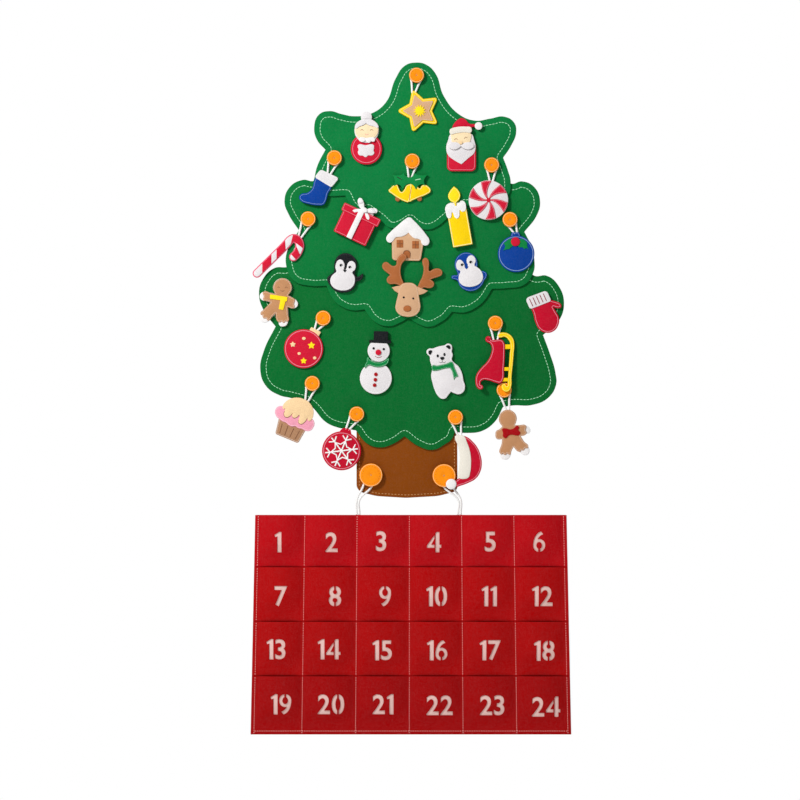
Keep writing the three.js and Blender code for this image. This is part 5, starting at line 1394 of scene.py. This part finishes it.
def cupcake():
    made = Ornament("cupcake")
    made.felt("wrapper", "wrapper", **base(corners([
        (-21, -6, 0), (21, -6, 0), (17.6, -31, 3), (-17, -31, 3)]), hem=1.4))
    made.sewn("pleats", "brown", [thread([(x * 1.08, -14), (x, -21), (x * 0.93, -27.6)], 3.05, 0.4)
                                  for x in (-12.5, -4.4, 3.8, 12)])
    made.felt("frosting", "pink", **whole(1, drawn([
        (-22, 9), (-28, 5.6), (-29.4, -1.4), (-25, -7.6), (-19.6, -9.6), (-14, -11), (-9.2, -10.8),
        (-4.4, -12.4), (0.6, -12.6), (5, -10.6), (10, -11.4), (15.4, -10.4), (20, -11), (26.2, -8.6),
        (29, -2), (27, 5.4), (20, 9), (0, 12)]), hem=1.3, line=0.4))
    made.felt("icing", "cream", **whole(2, drawn([
        (-21.6, 7.6), (-21, 15), (-15, 23.4), (-7, 28), (2, 29.2), (11, 27.4), (18.6, 21.6), (22.4, 13.6),
        (22.4, 7), (19.6, 3.6), (17.2, 5), (16.4, 7, 0), (14.8, 0), (11, -4.6), (7.4, -4), (5.8, 0),
        (5.2, 5.4), (4, 6.6, 0), (2, 2), (-1.6, -0.4), (-4.6, 1.4), (-5.4, 5, 0), (-8, -1), (-12.4, -3.6),
        (-16, -1.2), (-16.8, 4), (-17.6, 7, 0), (-19.6, 5.4)])))
    made.sewn("drip_lines", "brown", [thread(line, 4.1, 0.3) for line in (
        [(16.4, 8), (14.9, 0), (11, -4.9), (7.2, -4.2), (5.6, 0)],
        [(3.9, 8.6), (3.4, 4), (1.8, 1.4), (-1.6, -0.8), (-4.8, 1.2)],
        [(-5.4, 7.6), (-7.8, -1.2), (-12.4, -4), (-16.2, -1.4), (-17, 4)])])


def snowflake_ball():
    made = Ornament("snowflake_ball")
    made.felt("neck", "crimson", **base(drawn([
        (-4, 24, 0), (-1, 29.4), (3, 31.8), (8, 31.2), (12.4, 29.4), (13.4, 26), (14, 20, 0)]), hem=0))
    made.felt("ball", "crimson", **whole(0.3, oval(0, 0, 27.3, around=72), hem=2.4, line=0.8))
    flake = []

    def at(reach, angle):
        return reach * math.cos(math.radians(angle)), reach * math.sin(math.radians(angle))

    for arm in range(6):
        angle = 7 + 60 * arm
        flake.append(thread([at(0, angle), at(12, angle), at(23, angle)], 3.5, 1.05))
        for side in (-1, 1):
            flake.append(thread([at(16, angle), at(21.6, angle + side * 18)], 3.5, 0.95))
        ring = [at(14.5, angle), at(9.2, angle + 30), at(14.5, angle + 60)]
        flake.append(thread(ring, 3.5, 0.95, smooth=False))
    made.sewn("flake", "white", flake)


def red_cap():
    made = Ornament("red_cap")
    made.felt("crown", "crimson", **base(drawn([
        (0, 29, 0), (8, 26), (15.4, 19.6), (21.8, 11.4), (26.2, 0), (27.6, -11.5), (25.6, -21.8),
        (19.2, -31.6), (8.8, -37.6), (-1.5, -41.4), (-10, -43.2), (-13, -40), (-10, -35.6),
        (-3, -30, 0)]), hem=1.9, line=0.6))
    made.felt("band", "ivory", **whole(1, drawn([
        (-10, 26.4), (-8.6, 28.6), (-2, 29), (2.6, 28), (7, 19), (10.6, 9), (12.4, -2), (12.6, -13),
        (11.4, -23), (9, -30), (3.6, -32.2), (-2.4, -31.8), (-5.8, -29.6), (-4.8, -20), (-3.4, -9),
        (-3.4, 3), (-5.4, 14)]), edge=0.9))
    made.felt("bobble", "snow", **whole(1.6, oval(-15.2, -39.5, 7.4, around=36), edge=1.4))


for make in (star, white_haired_figure, bearded_figure, stocking, bells, peppermint, gift, candle, house,
             reindeer, black_penguin, blue_penguin, gingerbread_scarf, gingerbread_bow, red_ball, blue_ball,
             candy_cane, sleigh, mitten, snowman, polar_bear, cupcake, snowflake_ball, red_cap):
    make()


# Pocket panel: a backing, four strips that are sewn down in six pockets each, and cut-out numbers

ROWS = 4
COLUMNS = 6
STRIP = 2.0
FIRST_ROW = 72.8
ROW_HEIGHT = 76.3
SEAM_LAND = 2.5
FOOT_LAND = 6
POCKET_DEPTH = 7
DIGIT = 29
GLYPH_HEIGHT = 0.76  # about a digit's height in the built-in typeface, at size 1
CUTTER_DEPTH = 30
DIGIT_GAP = 2.2
BRIDGE_WIDTH = 2.2
STRIP_EDGE = 0.6
FOOT_SEAM = 4.9
BULGE_LENGTH = 1.8  # felt that a pocket's fullness takes, over its flat width
PANEL_FOOT = PANEL_TOP - PANEL_HEIGHT


def mouth_z(row):
    """The height of a row's pocket mouths."""
    return PANEL_TOP - (FIRST_ROW + (row - 1) * ROW_HEIGHT if row else 0)


def foot_z(row):
    """The height of a strip's lower edge."""
    return mouth_z(row + 1) + GAP if row < ROWS - 1 else PANEL_FOOT


def strip_front(x, z, row):
    """The y of a strip's front at x and z."""
    down = (mouth_z(row) - z) / ((ROW_HEIGHT if row else FIRST_ROW) - FOOT_LAND)
    fade = min(1, max(0, 2 * down - 1))
    off = 0
    for pocket in range(COLUMNS):
        left = seam_x(pocket, z) + SEAM_LAND
        right = seam_x(pocket + 1, z) - SEAM_LAND
        if left < x < right:
            bulge = math.sin(math.pi * (x - left) / (right - left)) ** 0.8
            off = POCKET_DEPTH * bulge * math.cos(fade * math.pi / 2) ** 2
    return PANEL_FACE - STRIP - off


def strip_sheet(row):
    """A row's strip of felt, bowed out at each pocket, before its numbers are cut."""
    top = mouth_z(row)
    foot = foot_z(row)
    sheet = bmesh.new()
    bmesh.ops.create_grid(sheet, x_segments=168, y_segments=24, size=0.5)
    for corner in sheet.verts:
        z = foot + (corner.co.y + 0.5) * (top - foot)
        x = PANEL_MIDDLE + corner.co.x * panel_width(z)
        corner.co = (x, strip_front(x, z, row) + STRIP, z)
    made = bmesh.ops.extrude_face_region(sheet, geom=sheet.faces[:])
    front = [part for part in made["geom"] if isinstance(part, bmesh.types.BMVert)]
    bmesh.ops.translate(sheet, verts=front, vec=(0, -STRIP, 0))
    rim = [edge for edge in sheet.edges if edge.calc_face_angle(0) > math.radians(60)]
    bmesh.ops.bevel(sheet, geom=rim, offset=STRIP_EDGE, segments=2, profile=0.5, affect="EDGES", material=-1)
    return sheet


def mesh_of(shape):
    """The shape as a mesh. The shape is used up."""
    mesh = bpy.data.meshes.new("cutter")
    shape.to_mesh(mesh)
    shape.free()
    return mesh


def digit(glyph):
    """A digit as a solid, upright, with its foot at 0 and about 29 mm high."""
    if glyph == "9":
        shape = digit("6")
        bmesh.ops.rotate(shape, verts=shape.verts, cent=(0, 0, 0), matrix=Matrix.Rotation(math.pi, 3, "Y"))
        return shape
    if glyph in DRAWN_DIGITS:
        shape = bmesh.new()
        for points in DRAWN_DIGITS[glyph]:
            block = corners(points)
            bmesh.ops.translate(block, verts=block.verts, vec=(0, CUTTER_DEPTH / 2, 0))
            made = bmesh.ops.extrude_face_region(block, geom=block.faces[:])
            front = [part for part in made["geom"] if isinstance(part, bmesh.types.BMVert)]
            bmesh.ops.translate(block, verts=front, vec=(0, -CUTTER_DEPTH, 0))
            mesh = mesh_of(block)
            shape.from_mesh(mesh)
            bpy.data.meshes.remove(mesh)
        return shape
    letters = bpy.data.curves.new("digit", "FONT")
    letters.body = glyph
    letters.extrude = 0.5
    letters.offset = 0.026
    letters.resolution_u = 5
    shape = made_of(letters)
    bmesh.ops.remove_doubles(shape, verts=shape.verts, dist=0.0004)
    grown = DIGIT / GLYPH_HEIGHT
    bmesh.ops.transform(shape, verts=shape.verts, matrix=Matrix.Rotation(math.radians(90), 4, "X")
                        @ Matrix.Diagonal((grown * 0.94, grown, CUTTER_DEPTH, 1)))
    return shape


def arc(x, z, wide, tall, start, stop):
    """Corners on an ellipse, between two angles in degrees that count from the right towards the top."""
    steps = round(abs(stop - start) / 14)
    angles = [math.radians(start + (stop - start) * i / steps) for i in range(steps + 1)]
    return [(x + wide * math.cos(angle), z + tall * math.sin(angle), 0) for angle in angles]


DRAWN_DIGITS = {
    "1": [[(3.6, 0, 0.3), (9.4, 0, 0.3), (9.4, DIGIT, 0.3), (6.2, DIGIT, 0.3), (-0.6, 24.6, 0.3),
           (0.8, 21.4, 0.3), (3.6, 22.6, 0)]],
    "4": [[(11, 0, 0.3), (16.6, 0, 0.3), (16.6, 6.4, 0), (19.2, 6.4, 0.3), (19.2, 11, 0.3), (16.6, 11, 0),
           (16.6, DIGIT, 0.3), (12.6, DIGIT, 0.3), (11, 26.6, 0)],
          [(9.6, 6.4, 0), (9.6, 11, 0), (5.2, 11, 0), (9.6, 19.4, 0), (9.6, 24.6, 0), (-1, 9.6, 0),
           (-1, 6.4, 0.3)]],
    "6": [arc(8.5, 9.2, 8.5, 9.2, 262, 180) + arc(13, 9.2, 13, DIGIT - 9, 172, 100)
          + [(14.2, DIGIT - 4, 0), (10.8, DIGIT - 5.6, 0), (8, DIGIT - 8.2, 0)]
          + arc(8.5, 9.2, 8.5, 9.2, 106, -82) + arc(8.5, 9.2, 3.9, 4.9, -73, 253)],
}
BRIDGES = {"8": "top foot", "0": "top foot"}
NUMBER_CENTRES = [
    [(-187.6, -655.2), (-112.7, -655.2), (-43.4, -653.8), (30.8, -655.2), (109.2, -654.5), (177.8, -654.5)],
    [(-183.4, -730.8), (-107.8, -730.8), (-37.8, -730.8), (34.3, -730.8), (107.8, -730.8), (182, -730.8)],
    [(-190.4, -805), (-116.2, -805), (-42, -806.4), (35, -806.4), (109.2, -806.4), (184.8, -807.1)],
    [(-183.4, -882), (-113.4, -882), (-40.6, -882), (38.5, -883.4), (112, -883.4), (187.6, -885.5)],
]


def number(value, x, z):
    """The digits of a number round x and z, and the bars of felt that bridge its closed digits."""
    digits = [digit(glyph) for glyph in str(value)]
    spans = [(min(v.co.x for v in shape.verts), max(v.co.x for v in shape.verts)) for shape in digits]
    left = x - (sum(b - a for a, b in spans) + DIGIT_GAP * (len(digits) - 1)) / 2
    bars = []
    for glyph, shape, (start, stop) in zip(str(value), digits, spans):
        low = min(v.co.z for v in shape.verts)
        high = max(v.co.z for v in shape.verts)
        bmesh.ops.translate(shape, verts=shape.verts, vec=(left - start, 0, z - (low + high) / 2))
        middle = left + (stop - start) / 2
        half = (high - low) / 2
        for end in BRIDGES.get(glyph, "").split():
            inner, outer = (half - 8, half + 1) if end == "top" else (-half - 1, -half + 8)
            bars.append((middle - BRIDGE_WIDTH / 2, z + inner, middle + BRIDGE_WIDTH / 2, z + outer))
        left += stop - start + DIGIT_GAP
    return digits, bars


def laid(shape, row, front, back):
    """Puts a flat shape on a strip, between those two distances behind the strip's front."""
    made = bmesh.ops.extrude_face_region(shape, geom=shape.faces[:])
    lifted = {part for part in made["geom"] if isinstance(part, bmesh.types.BMVert)}
    for corner in shape.verts:
        depth = front if corner in lifted else back
        corner.co.y = strip_front(corner.co.x, corner.co.z, row) + depth
    return shape


def finer(shape, cuts):
    """A rectangle cut into small squares, so that it can follow a pocket's bow."""
    bmesh.ops.subdivide_edges(shape, edges=shape.edges[:], cuts=cuts, use_grid_fill=True)
    return shape


def pocket_row(row):
    """One strip with its six numbers cut out, their linings and its seams."""
    cutters = bmesh.new()
    linings, bars = [], []
    for column, (x, z) in enumerate(NUMBER_CENTRES[row]):
        value = row * COLUMNS + column + 1
        digits, bridges = number(value, x, z)
        wide = 13 * len(digits) + 3
        linings.append(laid(finer(rectangle(x - wide, z - 18, x + wide, z + 18), 9), row, 1.1, 1.7))
        bars += [laid(finer(rectangle(*bridge), 3), row, 0, 1.3) for bridge in bridges]
        for shape in digits:
            mesh = mesh_of(shape)
            cutters.from_mesh(mesh)
            bpy.data.meshes.remove(mesh)
    bmesh.ops.recalc_face_normals(cutters, faces=cutters.faces)
    knife = bpy.data.objects.new("knife", mesh_of(cutters))
    bpy.context.scene.collection.objects.link(knife)
    sheet = strip_sheet(row)
    bmesh.ops.recalc_face_normals(sheet, faces=sheet.faces)
    blank = bpy.data.objects.new("strip", mesh_of(sheet))
    bpy.context.scene.collection.objects.link(blank)
    cut = blank.modifiers.new("cut", "BOOLEAN")
    cut.operation = "DIFFERENCE"
    cut.solver = "EXACT"
    cut.object = knife
    view_layer = bpy.context.evaluated_depsgraph_get()
    mesh = bpy.data.meshes.new_from_object(blank.evaluated_get(view_layer))
    strip = bmesh.new()
    strip.from_mesh(mesh)
    bpy.data.meshes.remove(mesh)
    for helper in (blank, knife):
        shape = helper.data
        bpy.data.objects.remove(helper)
        bpy.data.meshes.remove(shape)
    name = "row_%d" % (row + 1)
    # Each lower row gets a darker red, as painted shade.
    strip_felt = felt_piece(name + "_strip", name + "_red", [strip] + bars, "pocket_panel",
                            replaces=["pocket_row_%d" % (row + 1)])
    # The linings' pinkish grey is painted shade and red bounce light on white felt.
    lining = felt_piece(name + "_number_linings", "lining", linings, "pocket_panel")
    foot = foot_z(row)
    lines = []
    for seam in range(COLUMNS + 1):
        path = [(seam_x(seam, z), z) for z in (mouth_z(row) - 1, foot + 1)]
        lines.append(stitches(path, STRIP - PANEL_FACE, 3.3, 2.1, 0.5, seed=seam + 10 * row))
    if row == ROWS - 1:
        z = PANEL_FOOT + FOOT_SEAM
        path = [(seam_x(0, z), z), (seam_x(COLUMNS, z), z)]
        lines.append(stitches(path, STRIP - PANEL_FACE, 3.3, 2.1, 0.5))
    seams = sew(name + "_seams", lines, THREADS["pale_pink"], "pocket_panel")
    width = panel_width(foot) + COLUMNS * BULGE_LENGTH
    cut_sheet(strip_felt, width, mouth_z(row) - foot, width * (mouth_z(row) - foot), ["panel_backing_felt"],
              [lining, seams])


half_top, half_foot = PANEL_TOP_WIDTH / 2, PANEL_BOTTOM_WIDTH / 2
backing = corners([(PANEL_MIDDLE - half_top, PANEL_TOP, 2), (PANEL_MIDDLE + half_top, PANEL_TOP, 2),
                   (PANEL_MIDDLE + half_foot, PANEL_FOOT, 2), (PANEL_MIDDLE - half_foot, PANEL_FOOT, 2)])
backing_size = spread(backing)
backing_layer = ply(backing, -WALL, -PANEL_FACE, edge=FELT_EDGE)
backing_felt = felt_piece("panel_backing_felt", "panel_red", [backing_layer], "pocket_panel",
                          replaces=["panel_backing"])
cut_sheet(backing_felt, *backing_size, ["cord_of_panel_left", "cord_of_panel_right"])
for row in range(ROWS):
    pocket_row(row)


# Stage: a pale floor, a soft lamp at the upper left, another behind at the right, and a white surround

floor_shape = bmesh.new()
bmesh.ops.create_grid(floor_shape, x_segments=1, y_segments=1, size=1)
floor_mesh = bpy.data.meshes.new("floor")
floor_shape.transform(Matrix.Translation((0, -0.8, -1.05)) @ Matrix.Diagonal((2, 1.05, 1, 1)))
floor_shape.to_mesh(floor_mesh)
floor_shape.free()
floor_finish = Finish("pale_floor")
floor_finish.surface_is(Base_Color=(0.86, 0.86, 0.86, 1), Roughness=0.9)
floor_mesh.materials.append(floor_finish.material)
floor = bpy.data.objects.new("floor", floor_mesh)
bpy.context.scene.collection.objects.link(floor)

for lamp_name, spot, watts in (("soft_lamp", (-1.7, -2.1, 1.3), 91), ("rear_lamp", (1.6, 2.4, 1.0), 48)):
    lamp = bpy.data.lights.new(lamp_name, "AREA")
    lamp.size = 0.6
    lamp.energy = watts
    holder = bpy.data.objects.new(lamp_name, lamp)
    holder.location = spot
    aim = Vector((0, 0, -0.45)) - holder.location
    holder.rotation_euler = aim.to_track_quat("-Z", "Y").to_euler()
    bpy.context.scene.collection.objects.link(holder)

world = bpy.data.worlds.new("white_surround")
world.use_nodes = True
bpy.context.scene.world = world
nodes, links = world.node_tree.nodes, world.node_tree.links
rays = nodes.new("ShaderNodeLightPath")
seen = nodes.new("ShaderNodeMath")
seen.operation = "MAXIMUM"
links.new(rays.outputs["Is Camera Ray"], seen.inputs[0])
mirrored = nodes.new("ShaderNodeMath")
mirrored.operation = "MAXIMUM"
links.new(rays.outputs["Is Glossy Ray"], mirrored.inputs[0])
links.new(rays.outputs["Is Transmission Ray"], mirrored.inputs[1])
links.new(mirrored.outputs[0], seen.inputs[1])
level = nodes.new("ShaderNodeMapRange")
level.inputs["To Min"].default_value = 0.32
links.new(seen.outputs[0], level.inputs["Value"])
surround = nodes["Background"]
surround.inputs["Color"].default_value = (1, 1, 1, 1)
links.new(level.outputs[0], surround.inputs["Strength"])
